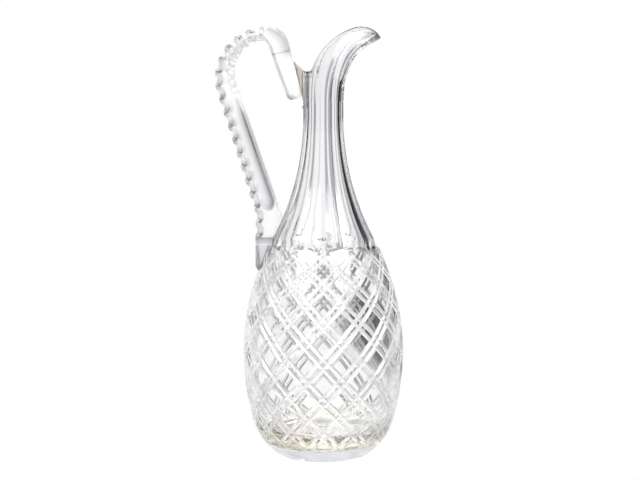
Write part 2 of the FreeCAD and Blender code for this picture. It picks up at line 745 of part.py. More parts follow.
def scallop_centres():
    """Expressions for the centre of every scallop, up the grip and then round the bend."""
    lift = f"({SCALLOP_R} - <scallop_depth>)"
    grip_length = f"(({BEND_Z} - {LEAN_SIN} * {BEND_R} - {ROOT_TOP_Z}) / {LEAN_COS})"
    centres = []
    for index in range(dict(SIZES)["grip_scallops"]):
        along = f"({grip_length} - {index} * <scallop_pitch>)"
        centres.append((
            f"{ROOT_X} - {LEAN_SIN} * {along} - {LEAN_COS} * {lift}",
            f"{ROOT_TOP_Z} + {LEAN_COS} * {along} - {LEAN_SIN} * {lift}",
        ))
    for index in range(1, dict(SIZES)["bend_scallops"] + 1):
        turn = f"({index} * <scallop_pitch> / {BEND_R} * 1 rad - <grip_lean> * 1 deg)"
        centres.append((
            f"{CROWN_X} - ({BEND_R} + {lift}) * cos({turn})",
            f"{BEND_Z} + ({BEND_R} + {lift}) * sin({turn})",
        ))
    return centres


def make_handle(doc, sheet, outside):
    """Applied handle: slab of the side view, edges bevelled, scalloped, fitted to the vessel."""
    form = doc.addObject("PartDesign::Body", "handle_form")
    slab = form.newObject("PartDesign::Pad", "handle_slab")
    slab.Profile = handle_sketch(form, sheet)
    slab.Midplane = True
    slab.setExpression("Length", named("<handle_width>"))
    doc.recompute()

    sides = [f"Face{number}" for number, face in enumerate(slab.Shape.Faces, start=1)
             if abs(face.normalAt(0, 0).y) > 0.99]
    bevel = form.newObject("PartDesign::Chamfer", "handle_bevel")
    bevel.Base = (slab, sides)
    bevel.setExpression("Size", named("<handle_edge>"))
    doc.recompute()
    bevelled_volume = form.Shape.Volume

    draw = SketchBuilder(form, "scallop_side", "XZ_Plane", sheet)
    for across, up in scallop_centres():
        scoop = draw.circle(draw.point(across, up), draw.value(SCALLOP_R))
        draw.size("Radius", SCALLOP_R, scoop)
        draw.place(scoop, 3, across, up)
    scallops = form.newObject("PartDesign::Pocket", "scallops")
    scallops.Profile = draw.sketch
    scallops.Midplane = True
    scallops.setExpression("Length", named("2 * <handle_width>"))
    doc.recompute()
    if form.Shape.Volume >= bevelled_volume:
        raise RuntimeError("the scallops cut nothing")

    handle = cut(doc, "handle", form, outside)
    doc.recompute()
    return handle


def check_document(doc, pieces):
    """Stop if an object failed or a piece is not one sound solid."""
    for item in doc.Objects:
        if "Invalid" in item.State or "Error" in item.State:
            raise RuntimeError(f"{item.Label} failed: {item.State}")
    for piece in pieces:
        shape = piece.Shape
        if shape.isNull() or not shape.isValid() or len(shape.Solids) != 1:
            raise RuntimeError(f"{piece.Label} is not one sound solid")


def main():
    """Build the carafe and write each piece to its own file."""
    doc = FreeCAD.newDocument("carafe")
    sheet = make_sheet(doc)
    outside = make_outside(doc, sheet)
    pieces = [make_vessel(doc, sheet, outside), make_handle(doc, sheet, outside)]
    check_document(doc, pieces)
    os.makedirs("parts", exist_ok=True)
    for piece in pieces:
        piece.Shape.exportStep(f"parts/{piece.Label}.step")
        box = piece.Shape.optimalBoundingBox(True, False)
        print(f"{piece.Label}: volume {piece.Shape.Volume:.0f} mm3, "
              f"x {box.XMin:.2f} to {box.XMax:.2f}, y {box.YMin:.2f} to {box.YMax:.2f}, "
              f"z {box.ZMin:.2f} to {box.ZMax:.2f}")


main()
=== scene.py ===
"""Looks of the cut-glass carafe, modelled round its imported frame.

The beak points along +X, the handle stands on the -X side and the camera looks along +Y. Sizes in
the classes are millimetres; meshes are written in metres. Angles round the axis are counted from
the camera's side (-Y) towards the beak (+X).
"""

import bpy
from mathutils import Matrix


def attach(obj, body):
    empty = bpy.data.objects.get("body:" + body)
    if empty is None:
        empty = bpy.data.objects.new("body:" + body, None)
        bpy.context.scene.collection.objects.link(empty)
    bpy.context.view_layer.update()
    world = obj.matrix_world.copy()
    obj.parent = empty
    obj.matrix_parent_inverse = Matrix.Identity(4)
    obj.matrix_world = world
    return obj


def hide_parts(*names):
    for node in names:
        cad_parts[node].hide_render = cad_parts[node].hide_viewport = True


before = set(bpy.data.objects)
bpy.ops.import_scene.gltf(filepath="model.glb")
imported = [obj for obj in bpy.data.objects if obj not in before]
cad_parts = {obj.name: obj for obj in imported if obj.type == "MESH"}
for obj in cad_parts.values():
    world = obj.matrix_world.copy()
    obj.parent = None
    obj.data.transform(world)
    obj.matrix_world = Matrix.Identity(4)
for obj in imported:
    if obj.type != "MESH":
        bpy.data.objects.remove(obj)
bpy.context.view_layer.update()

import logging
import math
from dataclasses import dataclass, field
from enum import Enum
from typing import Callable, Sequence

import bmesh
import bpy
import numpy as np
from mathutils import Vector

logging.basicConfig(level=logging.INFO, format="%(message)s")
log = logging.getLogger("carafe")

MM = 0.001
MERGE = 1e-7
PLANE_SNAP = 1e-8
PARALLEL = 1e-9
END_SLACK = 1e-6
HALVINGS = 40
WHITE = (1.0, 1.0, 1.0)
COLUMNS_PER_PANEL = 24
TONE = "tone"
BMesh = bmesh.types.BMesh
BMVert = bmesh.types.BMVert
Ring = list[BMVert]
Place = tuple[float, float, float]
Tone = tuple[float, float, float]
Span = tuple[float, float]
Stops = tuple[tuple[float, float], ...]
Socket = bpy.types.NodeSocket
Colour = tuple[float, float, float, float] | Socket
MIX_FACTOR, MIX_BELOW, MIX_ABOVE, MIX_RESULT = 0, 6, 7, 2


class Slot(Enum):
    """Names of two material slots; nothing in this script uses them."""

    VESSEL = "vessel_glass"
    HANDLE = "handle_glass"


def smooth(value: float, low: float, high: float) -> float:
    """Rise from 0 at low to 1 at high with level ends."""
    share = min(1.0, max(0.0, (value - low) / (high - low)))
    return share * share * (3 - 2 * share)


def bell(value: float, middle: float, half: float) -> float:
    """Soft line of height 1 at the middle that fades out on both sides."""
    return math.exp(-((value - middle) / half) ** 2)


def solve(gap: Callable[[float], float], low: float, high: float) -> float:
    """Find where a function changes from negative to positive.

    Args:
        gap: function that is negative at low and positive at high.
        low: lower end of the search.
        high: upper end of the search.

    Returns:
        The crossing, by halving.
    """
    for _ in range(HALVINGS):
        middle = (low + high) / 2
        if gap(middle) < 0:
            low = middle
        else:
            high = middle
    return (low + high) / 2


class Curve:
    """Smooth curve through given stops that never overshoots them."""

    def __init__(self, stops: Sequence[tuple[float, float]]) -> None:
        """Keep the stops and work out a slope for each.

        Args:
            stops: pairs of position and value, in order of position.
        """
        self.at = np.array([stop[0] for stop in stops], float)
        self.value = np.array([stop[1] for stop in stops], float)
        step = np.diff(self.at)
        rise = np.diff(self.value) / step
        slope = np.zeros(len(stops))
        slope[0], slope[-1] = rise[0], rise[-1]
        for index in range(1, len(stops) - 1):
            before, after = rise[index - 1], rise[index]
            if before * after > 0:
                slope[index] = 2 * before * after / (before + after)
        self.slope = slope

    def __call__(self, place: float) -> float:
        """Value of the curve at a position.

        Args:
            place: the position, held within the stops.

        Returns:
            The value there.
        """
        place = min(max(place, self.at[0]), self.at[-1])
        index = min(int(np.searchsorted(self.at, place, "right")) - 1, len(self.at) - 2)
        width = self.at[index + 1] - self.at[index]
        share = (place - self.at[index]) / width
        low, high = self.value[index], self.value[index + 1]
        start, end = self.slope[index] * width, self.slope[index + 1] * width
        bend = low + share * start + share ** 2 * (3 * (high - low) - 2 * start - end)
        return bend + share ** 3 * (2 * (low - high) + start + end)


def arc_points(centre: Vector, radius: float, start: float, end: float,
               steps: int) -> list[tuple[float, float]]:
    """Points along an arc, without its first one.

    Args:
        centre: middle of the arc.
        radius: radius of the arc, negative to count the angles from the other side.
        start: angle of the first end.
        end: angle of the second end.
        steps: number of points.

    Returns:
        The points as pairs.
    """
    turns = [start + (end - start) * step / steps for step in range(1, steps + 1)]
    return [(centre.x + radius * math.cos(turn), centre.y + radius * math.sin(turn)) for turn in turns]


def polar(angle: float, radius: float, height: float) -> Vector:
    """Point in metres at an angle, radius and height about the vertical axis."""
    return Vector((radius * math.sin(angle), -radius * math.cos(angle), height)) * MM


def make_ring(bm: BMesh, points: Sequence[Vector]) -> Ring:
    """Add the vertices of one closed ring."""
    return [bm.verts.new(point) for point in points]


def skin(bm: BMesh, lower: Ring, upper: Ring) -> None:
    """Join two rings of equal length with quads.

    Args:
        bm: mesh to add to.
        lower: first ring.
        upper: second ring, in step with the first.
    """
    count = len(lower)
    for index in range(count):
        after = (index + 1) % count
        bm.faces.new((lower[index], lower[after], upper[after], upper[index]))


def close_rings(bm: BMesh, rings: Sequence[Ring]) -> None:
    """Join rings of equal length in a row and close both ends.

    Args:
        bm: mesh to add to.
        rings: the rings from one end to the other.
    """
    bm.faces.new(rings[0])
    for lower, upper in zip(rings, rings[1:]):
        skin(bm, lower, upper)
    bm.faces.new(rings[-1])


def ring_angle(vertex: BMVert) -> float:
    """Angle of a vertex round the axis, from 0 to a full turn."""
    return math.atan2(vertex.co.x, -vertex.co.y) % math.tau


def zip_rings(bm: BMesh, lower: Ring, upper: Ring) -> None:
    """Join two rings of different lengths with triangles, in step by their angles.

    Args:
        bm: mesh to add to.
        lower: first ring, in any order.
        upper: second ring, in any order.
    """
    rings = [sorted(lower, key=ring_angle), sorted(upper, key=ring_angle)]
    angles = [[ring_angle(vertex) for vertex in ring] for ring in rings]
    counts = [len(ring) for ring in rings]
    at = [0, 0]

    def angle_after(side: int) -> float:
        """Angle of the next vertex on a side, counted on past a full turn."""
        step = at[side] + 1
        return angles[side][step % counts[side]] + math.tau * (step // counts[side])

    while at[0] < counts[0] or at[1] < counts[1]:
        lower_next = at[0] < counts[0] and angle_after(0) <= angle_after(1)
        side = 0 if at[1] >= counts[1] or lower_next else 1
        this = rings[side][at[side] % counts[side]]
        after = rings[side][(at[side] + 1) % counts[side]]
        across = rings[1 - side][at[1 - side] % counts[1 - side]]
        bm.faces.new((this, after, across) if side == 0 else (this, across, after))
        at[side] += 1


@dataclass(frozen=True)
class Glass:
    """Crystal: bend of light, faint tint in thick places, the white share of a cut face and painted shade
    from the tone attribute.
    """

    name: str
    colour: Tone = WHITE
    ior: float = 1.52
    tint: Tone = (0.90, 0.90, 0.95)
    density: float = 1.5
    clear: float = 1.0
    roughness: float = 0.0
    toned: bool = False

    def material(self) -> bpy.types.Material:
        """Build the glass from a transmitting surface and a weak absorbing body.

        Returns:
            The new material.
        """
        material = bpy.data.materials.new(self.name)
        material.use_nodes = True
        nodes, links = material.node_tree.nodes, material.node_tree.links
        surface = nodes["Principled BSDF"]
        # the tone attribute carries painted shade, along with the glass's own near-white tint, into the base
        # colour
        if self.toned:
            tone = nodes.new("ShaderNodeAttribute")
            tone.attribute_name = TONE
            links.new(tone.outputs["Color"], surface.inputs["Base Color"])
        else:
            surface.inputs["Base Color"].default_value = (*self.colour, 1.0)
        surface.inputs["Roughness"].default_value = self.roughness
        surface.inputs["IOR"].default_value = self.ior
        surface.inputs["Transmission Weight"].default_value = self.clear
        body = nodes.new("ShaderNodeVolumeAbsorption")
        body.inputs["Color"].default_value = (*self.tint, 1.0)
        body.inputs["Density"].default_value = self.density
        links.new(body.outputs["Volume"], nodes["Material Output"].inputs["Volume"])
        return material


class Finish(Enum):
    """Glass of the vessel's faces, by their material number."""

    CLEAR = 0
    CUT = 1
    HEEL = 2
    FLOOR = 3

    def glass(self) -> Glass:
        """Polished wall, bright cut face, thick heel with painted lavender-grey shade, thick floor with
        painted warm cream light.

        Returns:
            The glass of this finish.
        """
        return {
            Finish.CLEAR: Glass("crystal_clear", toned=True),
            Finish.CUT: Glass("crystal_cut", clear=0.65, roughness=0.04, toned=True),
            # lavender-grey painted on the heel as shade
            Finish.HEEL: Glass("crystal_heel", colour=(0.84, 0.83, 0.875), clear=0.5, roughness=0.08),
            # warm cream painted on the cavity floor as warm light
            Finish.FLOOR: Glass("crystal_floor", colour=(1.0, 0.97, 0.90), clear=0.92, roughness=0.02),
        }[self]


def finish_mesh(bm: BMesh, name: str, glasses: Sequence[Glass], crease_deg: float) -> bpy.types.Object:
    """Close a mesh, turn its faces outwards and give it its glass.

    Args:
        bm: the modelled mesh, which is freed.
        name: name of the new object.
        glasses: finishes, in the order of the faces' material numbers.
        crease_deg: edges bent more than this stay crisp.

    Returns:
        The object, linked to the scene.
    """
    bmesh.ops.remove_doubles(bm, verts=bm.verts, dist=MERGE)
    bmesh.ops.recalc_face_normals(bm, faces=bm.faces)
    mesh = bpy.data.meshes.new(name)
    bm.to_mesh(mesh)
    bm.free()
    mesh.polygons.foreach_set("use_smooth", [True] * len(mesh.polygons))
    mesh.set_sharp_from_angle(angle=math.radians(crease_deg))
    for glass in glasses:
        mesh.materials.append(glass.material())
    piece = bpy.data.objects.new(name, mesh)
    bpy.context.scene.collection.objects.link(piece)
    triangles = sum(len(face.vertices) - 2 for face in mesh.polygons)
    log.info("%s: %d vertices, %d triangles", name, len(mesh.vertices), triangles)
    return piece


def mix_tone(clear: Tone, dark: Tone, shade: float) -> tuple[float, float, float, float]:
    """Mix a dark tone into a clear one by a share from 0 to 1."""
    red, green, blue = (a + (b - a) * shade for a, b in zip(clear, dark))
    return red, green, blue, 1.0


@dataclass
class Lattice:
    """Two families of paired V cuts that cross on the body at an even slope."""

    pairs: int = 14
    pitch: float = 28.5
    node_z: float = 77.8
    low_z: float = 11.4
    top_z: float = 152.6
    low_fade: float = 4.5
    top_fade: float = 3.0
    pair_offset: float = 0.13
    half_width: float = 0.082
    depth: float = 1.05
    land_steps: int = 6
    low_spare: float = 5.0
    top_spare: float = 4.0
    profile_points: int = 1200
    land_guard: float = 1e-9

    def offsets(self) -> list[float]:
        """Places of the mesh lines across one repeat: both cuts, then the land between pairs.

        Returns:
            The places, as shares of the repeat.
        """
        edges = []
        for centre in (-self.pair_offset, self.pair_offset):
            edges += [centre - self.half_width, centre, centre + self.half_width]
        start, end = edges[-1], 1 + edges[0]
        return edges + [start + (end - start) * step / self.land_steps for step in range(1, self.land_steps)]

    def cut(self, place: float) -> float:
        """Share of the full depth that one family cuts at a place across its repeat."""
        side = abs((place + 0.5) % 1.0 - 0.5)
        return max(0.0, 1 - (abs(side - self.pair_offset) + self.land_guard) / self.half_width)

    def fade(self, height: float) -> float:
        """Share of the depth that is left near the ends of the band."""
        low = smooth(height, self.low_z, self.low_z + self.low_fade)
        return low * (1 - smooth(height, self.top_z - self.top_fade, self.top_z))


@dataclass
class Vessel:
    """Blown body with cut lattice, fluted neck and pouring beak."""

    lattice: Lattice = field(default_factory=Lattice)
    panels: int = 8
    # outline of the body and neck
    belly_r: float = 60.0
    belly_z: float = 75.0
    belly_arc: float = 182.0
    base_r: float = 35.5
    base_hollow: Stops = ((0.0, 1.6), (12.0, 1.5), (24.0, 1.1), (29.0, 0.7), (31.0, 0.0))
    base_round: float = 0.8
    heel_z: float = 24.0
    heel_rows: tuple[float, ...] = (0.25, 0.8, 1.6, 2.8, 4.2, 5.8, 7.5, 9.2)
    heel_gap: float = 0.8
    shoulder_z: float = 156.0
    collar_z: float = 162.0
    collar_inset: float = 1.0
    collar_gap: float = 0.5
    neck_r: float = 15.9
    neck_low_z: float = 252.4
    throat_z: float = 262.0
    # inside, and the heights between which the heel and the floor have a glass of their own
    wall: float = 4.6
    floor_z: float = 12.0
    floor_rings: tuple[float, ...] = (0.0, 8.0, 16.0)
    cavity_heel: float = 28.0
    heel_steps: int = 12
    belly_steps: int = 28
    neck_steps: int = 24
    base_edge_z: float = 1.7
    floor_edge_z: float = 15.0
    # flutes, the lands between them, their ledges and the mesh rows of the neck
    flute_foot_z: float = 157.6
    flute_slope: float = 0.8
    flute_hollow: float = 0.45
    flute_fade: float = 0.8
    flute_fade_z: float = 312.0
    land_low_deg: float = 2.2
    land_low_z: float = 158.0
    land_top_deg: float = 0.25
    land_top_z: float = 235.0
    ledge_gap: float = 0.05
    foot_top_z: float = 172.0
    foot_rows: int = 12
    neck_start_z: float = 174.5
    neck_rows: int = 36
    # uncut glass round the handle's root
    root_bare_half: float = 9.5
    root_cut_half: float = 12.5
    root_cut_z: float = 128.0
    root_bare_z: float = 132.0
    # lip and beak: how far they grow past the neck, and their wall, by height
    front_growth: Stops = ((270, 0.5), (277, 1.6), (285, 3.8), (295, 8.8), (303, 17.0), (309, 27.5),
                           (320, 47.3))
    half_growth: Stops = ((280, 0.2), (292, 1.0), (301, 2.2), (309, 3.2), (320, 4.4))
    front_wall_at: Stops = ((280, 3.6), (292, 3.8), (301, 5.0), (309, 6.4), (320, 8.5))
    side_wall_at: Stops = ((280, 3.2), (320, 3.2))
    beak_pinch: float = 0.4
    lip_least: float = 5.0
    lip_most_z: float = 320.0
    lip_rows: int = 26
    lip_near_rows: tuple[float, ...] = (4.2, 3.4, 2.6, 1.8, 0.9, 0.0)
    # rim line in side view
    rim_back_z: float = 284.6
    rim_foot_x: float = -8.6
    rim_top_x: float = 24.0
    rim_top_z: float = 316.0
    rim_rise_arc: float = 46.0
    rim_drop_arc: float = 17.0
    rim_round: float = 0.7
    rim_segments: int = 5
    # crisp edges, tones of the glass, and the tones of its painted shade and painted warm light
    crease_deg: float = 18.0
    clear_tone: Tone = (0.968, 0.965, 0.975)
    land_tone: Tone = (0.976, 0.970, 0.960)
    groove_painted_shade_tone: Tone = (0.95, 0.95, 0.955)
    painted_line_shade_tone: Tone = (0.10, 0.10, 0.11)
    painted_warm_light_tone: Tone = (1.0, 0.95, 0.80)
    painted_warm_light_low_z: float = 14.0
    painted_warm_light_top_z: float = 27.0
    # painted shade lines on the arrises, the rim, the tip and the beak
    arris_shades: tuple[float, ...] = (0.65, 0.6, 0.15)
    arris_side_shade: float = 0.25
    arris_side_span: Span = (0.6, 0.9)
    arris_low_share: float = 0.25
    arris_grown_span: Span = (160.0, 205.0)
    rim_shade: float = 0.95
    rim_line_span: Span = (0.3, 1.5)
    second_shade: float = 0.5
    second_below: float = 3.4
    second_half: float = 0.7
    inner_rim_shade: float = 0.5
    inner_rim_span: Span = (0.2, 1.2)
    tip_shade: float = 0.8
    tip_span: Span = (33.5, 41.0)
    beak_line_deg: float = 35.0
    beak_line_half_deg: float = 5.0

    def __post_init__(self) -> None:
        """Work out the arcs of the outline and the rim."""
        heel_top = Vector((self.belly(self.heel_z), self.heel_z))
        inward = (Vector((self.belly_r - self.belly_arc, self.belly_z)) - heel_top).normalized()
        chord = Vector((self.base_r, 0.0)) - heel_top
        self.heel_arc = chord.length_squared / (2 * chord.dot(inward))
        self.heel_centre = heel_top + inward * self.heel_arc
        self.collar_r = self.belly(self.shoulder_z) - self.collar_inset
        rise = self.neck_low_z - self.collar_z
        spread = self.collar_r - self.neck_r
        self.neck_arc = (rise ** 2 + spread ** 2) / (2 * spread)
        self.panel_r = self.neck_r * math.cos(math.pi / self.panels)
        self.bore_r = self.neck_r - self.wall
        foot = Vector((self.rim_foot_x, self.rim_back_z))
        top = Vector((self.rim_top_x, self.rim_top_z))
        chord = top - foot
        aside = Vector((chord.y, -chord.x)).normalized()
        reach = math.sqrt(self.rim_rise_arc ** 2 - chord.length_squared / 4)
        self.rise_centre = (foot + top) / 2 + aside * reach
        self.drop_centre = top + (self.rise_centre - top).normalized() * self.rim_drop_arc
        throat, panel, inset = self.throat_z, self.panel_r, self.panel_r - self.bore_r
        self.front = Curve([(throat, panel), *((z, panel + grown) for z, grown in self.front_growth)])
        self.half = Curve([(throat, panel), *((z, panel + grown) for z, grown in self.half_growth)])
        self.front_wall = Curve([(throat, inset), *self.front_wall_at])
        self.side_wall = Curve([(throat, inset), *self.side_wall_at])

    def belly(self, height: float) -> float:
        """Radius of the belly arc at a height."""
        drop = height - self.belly_z
        return self.belly_r - self.belly_arc + math.sqrt(self.belly_arc ** 2 - drop ** 2)

    def round_radius(self, height: float) -> float:
        """Outside radius before any cutting.

        Args:
            height: height above the base.

        Returns:
            The radius of the round body, collar or neck.
        """
        if height < self.heel_z:
            return self.heel_centre.x + math.sqrt(self.heel_arc ** 2 - (height - self.heel_centre.y) ** 2)
        if height < self.shoulder_z:
            return self.belly(height)
        if height < self.collar_z:
            share = (height - self.shoulder_z) / (self.collar_z - self.shoulder_z)
            return self.belly(self.shoulder_z) - self.collar_inset * share
        rise = max(0.0, self.neck_low_z - height)
        return self.neck_r + self.neck_arc - math.sqrt(self.neck_arc ** 2 - rise ** 2)

    def panel_half(self, height: float) -> float:
        """Half angle of one flute; the rest up to the next flute is a thin land.

        Args:
            height: height above the base.

        Returns:
            The half angle.
        """
        thinned = smooth(height, self.land_low_z, self.land_top_z)
        land = self.land_low_deg + (self.land_top_deg - self.land_low_deg) * thinned
        return math.pi / self.panels - math.radians(land)

    def column_angle(self, column: int, height: float) -> float:
        """Angle of a mesh column, which keeps to the arrises beside the thin lands.

        Args:
            column: number of the column, counted round the axis.
            height: height above the base.

        Returns:
            The angle round the axis.
        """
        panel, step = divmod(column, COLUMNS_PER_PANEL)
        middle = COLUMNS_PER_PANEL // 2
        width = math.tau / self.panels
        share = (step - middle) / (middle - 1)
        offset = -width / 2 if step == 0 else share * self.panel_half(height)
        return panel * width + offset

    def fluted_radius(self, angle: float, height: float) -> float:
        """Outside radius with the flutes cut, above their feet.

        Args:
            angle: angle round the axis.
            height: height above the base.

        Returns:
            The radius there.
        """
        width = math.tau / self.panels
        aside = (angle + width / 2) % width - width / 2
        half = self.panel_half(height)
        full = self.round_radius(height)
        if abs(aside) >= half:
            return full
        hollow = self.flute_hollow * full / self.collar_r * (1 - (aside / half) ** 2)
        return full * math.cos(half) / math.cos(aside) - hollow

    def ledge_radius(self, angle: float, height: float) -> float:
        """Outside radius on the sloping ledge below the foot of a flute."""
        foot = self.fluted_radius(angle, self.flute_foot_z)
        return foot + (self.flute_foot_z - height) / self.flute_slope

    def surface_radius(self, angle: float, height: float) -> float:
        """Outside radius at any place below the throat, without the lattice.

        Args:
            angle: angle round the axis.
            height: height above the base.

        Returns:
            The radius there.
        """
        if height >= self.flute_foot_z:
            return self.fluted_radius(angle, height)
        return min(self.round_radius(height), self.ledge_radius(angle, height))

    def ledge_edge(self, angle: float) -> float:
        """Height at which the ledge of a flute runs out on the body.

        Args:
            angle: angle round the axis.

        Returns:
            The height above the base.
        """
        def over(height: float) -> float:
            """Distance of the round body over the ledge."""
            return self.round_radius(height) - self.ledge_radius(angle, height)
        return solve(over, self.lattice.top_z, self.flute_foot_z)

    def rim_height(self, across: float) -> float:
        """Height of the rim line in side view at a distance along X.

        Args:
            across: distance along X.

        Returns:
            The height above the base.
        """
        if across <= self.rim_foot_x:
            return self.rim_back_z
        centre, arc = self.rise_centre, self.rim_rise_arc
        if across > self.rim_top_x:
            centre, arc = self.drop_centre, self.rim_drop_arc
        return centre.y + math.sqrt(max(0.0, arc ** 2 - (across - centre.x) ** 2))

    def lip_point(self, angle: float, height: float, inside: bool) -> Vector:
        """Point of the lip in metres.

        Args:
            angle: angle round the axis.
            height: height above the base.
            inside: True for the inner face.

        Returns:
            The point on a level egg-shaped section, with the flutes fading upwards outside.
        """
        front_in = self.front_wall(height) if inside else 0.0
        side_in = self.side_wall(height) if inside else 0.0
        front = self.front(height) - front_in
        half = self.half(height) - side_in
        back = self.panel_r - side_in
        reach = (front + back) / 2
        along = math.sin(angle)
        pinch = self.beak_pinch * (reach / half - 1) * along
        swell = 1.0
        if not inside:
            flute = self.fluted_radius(angle, self.throat_z) / self.panel_r
            swell += (flute - 1) * (1 - self.flute_fade * smooth(height, self.throat_z, self.flute_fade_z))
        x = (front - back) / 2 + reach * along * swell
        y = -half * math.cos(angle) * (1 - pinch) * swell
        return Vector((x, y, height)) * MM

    def rim_of(self, angle: float, inside: bool) -> float:
        """Height at which one column of the lip meets the rim line.

        Args:
            angle: angle round the axis.
            inside: True for the inner face.

        Returns:
            The height above the base.
        """
        def above(height: float) -> float:
            """Height over the rim line."""
            return height - self.rim_height(self.lip_point(angle, height, inside).x / MM)
        return solve(above, self.throat_z + self.lip_least, self.lip_most_z)

    def build_lattice(self, bm: BMesh) -> tuple[Ring, Ring]:
        """Model the cut band on a net whose lines run along the cuts.

        Args:
            bm: mesh to add to.

        Returns:
            The lowest and the highest ring of the band.
        """
        cut = self.lattice
        tone = bm.verts.layers.float_color[TONE]
        heights = np.linspace(cut.low_z - cut.low_spare, cut.top_z + cut.top_spare, cut.profile_points)
        radii = np.array([self.round_radius(z) for z in heights])
        slopes = np.gradient(radii, heights)
        rate = np.sqrt(1 + slopes ** 2) * self.belly_r / radii / cut.pitch
        turns = np.concatenate([[0.0], np.cumsum((rate[1:] + rate[:-1]) / 2 * np.diff(heights))])
        turns -= np.interp(cut.node_z, heights, turns)
        lines = cut.offsets()
        per_turn = len(lines) * cut.pairs

        def place(line: int) -> float:
            """Distance of a net line across the repeats."""
            return line // len(lines) + lines[line % len(lines)]

        verts: dict[tuple[int, int], BMVert] = {}
        share: dict[BMVert, float] = {}

        def vertex(first: int, second: int) -> BMVert:
            """Vertex where a line of each family cross.

            Args:
                first: number of the line in the first family.
                second: number in the second family.

            Returns:
                The vertex, made when it is first asked for.
            """
            turn = first // per_turn
            key = (first - turn * per_turn, second - turn * per_turn)
            if key not in verts:
                across, against = place(key[0]), place(key[1])
                height = float(np.interp((across - against) / 2, turns, heights))
                angle = (across + against) / 2 * math.tau / cut.pairs
                slope = float(np.interp(height, heights, slopes))
                radius = self.round_radius(height)
                deepest = max(cut.cut(across), cut.cut(against))
                depth = cut.depth * radius / self.belly_r * cut.fade(height)
                depth *= self.clear_of_root(angle, height) * deepest
                lean = math.hypot(1, slope)
                made = bm.verts.new(polar(angle, radius - depth / lean, height + depth * slope / lean))
                # warm cream painted low in the band as warm light, fading out upwards
                warm = 1 - smooth(height, self.painted_warm_light_low_z, self.painted_warm_light_top_z)
                # cut vertices take a grey painted as shade in the grooves; lands keep their own tone
                plain = self.land_tone if deepest == 0 else self.groove_painted_shade_tone
                made[tone] = mix_tone(plain, self.painted_warm_light_tone, warm)
                verts[key], share[made] = made, deepest
            return verts[key]

        span = int(2 * (turns[-1] - turns[0]) * len(lines)) + 2 * len(lines)
        for first in range(per_turn):
            for second in range(first - span, first + span):
                levels = [(place(first + i) - place(second + j)) / 2 for i in (0, 1) for j in (0, 1)]
                if min(levels) < turns[0] or max(levels) > turns[-1]:
                    continue
                quad = [vertex(first, second), vertex(first + 1, second),
                        vertex(first + 1, second + 1), vertex(first, second + 1)]
                depths = [share[corner] for corner in quad]
                self.add_cut_face(bm, quad, depths)
        for height, side in ((cut.low_z, -1), (cut.top_z, 1)):
            everything = bm.verts[:] + bm.edges[:] + bm.faces[:]
            bmesh.ops.bisect_plane(bm, geom=everything, dist=PLANE_SNAP, plane_co=(0, 0, height * MM),
                                   plane_no=(0, 0, side), clear_outer=True)
        ends = {corner for edge in bm.edges if edge.is_boundary for corner in edge.verts}
        middle = (cut.low_z + cut.top_z) / 2 * MM
        return [v for v in ends if v.co.z < middle], [v for v in ends if v.co.z > middle]

    @staticmethod
    def add_cut_face(bm: BMesh, quad: Ring, depths: Sequence[float]) -> None:
        """Add one cell of the net, split along the mitre where two cuts cross.

        Args:
            bm: mesh to add to.
            quad: corners of the cell, in order.
            depths: shares of the cut depth at the corners.
        """
        if depths.count(0.0) == 1 and min(sorted(depths)[1:]) > 0:
            start = depths.index(0.0)
            corners = quad[start:] + quad[:start]
            faces = [bm.faces.new(corners[:3]), bm.faces.new((corners[0], corners[2], corners[3]))]
        else:
            faces = [bm.faces.new(quad)]
        if max(depths) > 0:
            for face in faces:
                face.material_index = Finish.CUT.value

    def clear_of_root(self, angle: float, height: float) -> float:
        """Share of the cut depth left beside the handle's root, which stands on uncut glass.

        Args:
            angle: angle round the axis.
            height: height above the base.

        Returns:
            The share, from 0 to 1.
        """
        aside = abs((angle + math.pi / 2 + math.pi) % math.tau - math.pi) * self.round_radius(height)
        below = 1 - smooth(height, self.root_cut_z, self.root_bare_z)
        return max(smooth(aside, self.root_bare_half, self.root_cut_half), below)

    def build_heel(self, bm: BMesh) -> Ring:
        """Spin the plain heel and the base with its shallow hollow.

        Args:
            bm: mesh to add to.

        Returns:
            The upper ring of the heel.
        """
        profile = [*self.base_hollow, (self.base_r - self.base_round, 0.0)]
        for height in (*self.heel_rows, self.lattice.low_z - self.heel_gap):
            profile.append((self.round_radius(height), height))
        return self.spin_profile(bm, profile, Finish.HEEL)

    def spin_profile(self, bm: BMesh, profile: Sequence[tuple[float, float]], finish: Finish) -> Ring:
        """Spin an outline once round the axis.

        Args:
            bm: mesh to add to.
            profile: pairs of radius and height, from the axis outwards.
            finish: glass of the faces between the underside and the edge of the floor.

        Returns:
            The ring that the last point makes.
        """
        line = [bm.verts.new(polar(0.0, radius, height)) for radius, height in profile]
        edges = [bm.edges.new(pair) for pair in zip(line, line[1:])]
        before = set(bm.verts) - set(line)
        bmesh.ops.spin(bm, geom=line + edges, cent=(0, 0, 0), axis=(0, 0, 1), dvec=(0, 0, 0), angle=math.tau,
                       steps=self.panels * COLUMNS_PER_PANEL, use_merge=True, use_duplicate=False)
        turned = [v for v in bm.verts if v not in before]
        for face in {face for vertex in turned for face in vertex.link_faces}:
            top = max(vertex.co.z for vertex in face.verts) / MM
            between = self.base_edge_z < top < self.floor_edge_z
            face.material_index = finish.value if between else Finish.CLEAR.value
        bmesh.ops.remove_doubles(bm, verts=[v for v in turned if v.co.xy.length < MERGE], dist=MERGE)
        last = Vector(profile[-1]) * MM
        ring = [v for v in bm.verts if v not in before
                and abs(v.co.z - last.y) < MERGE and abs(v.co.xy.length - last.x) < MERGE]
        return sorted(ring, key=ring_angle)

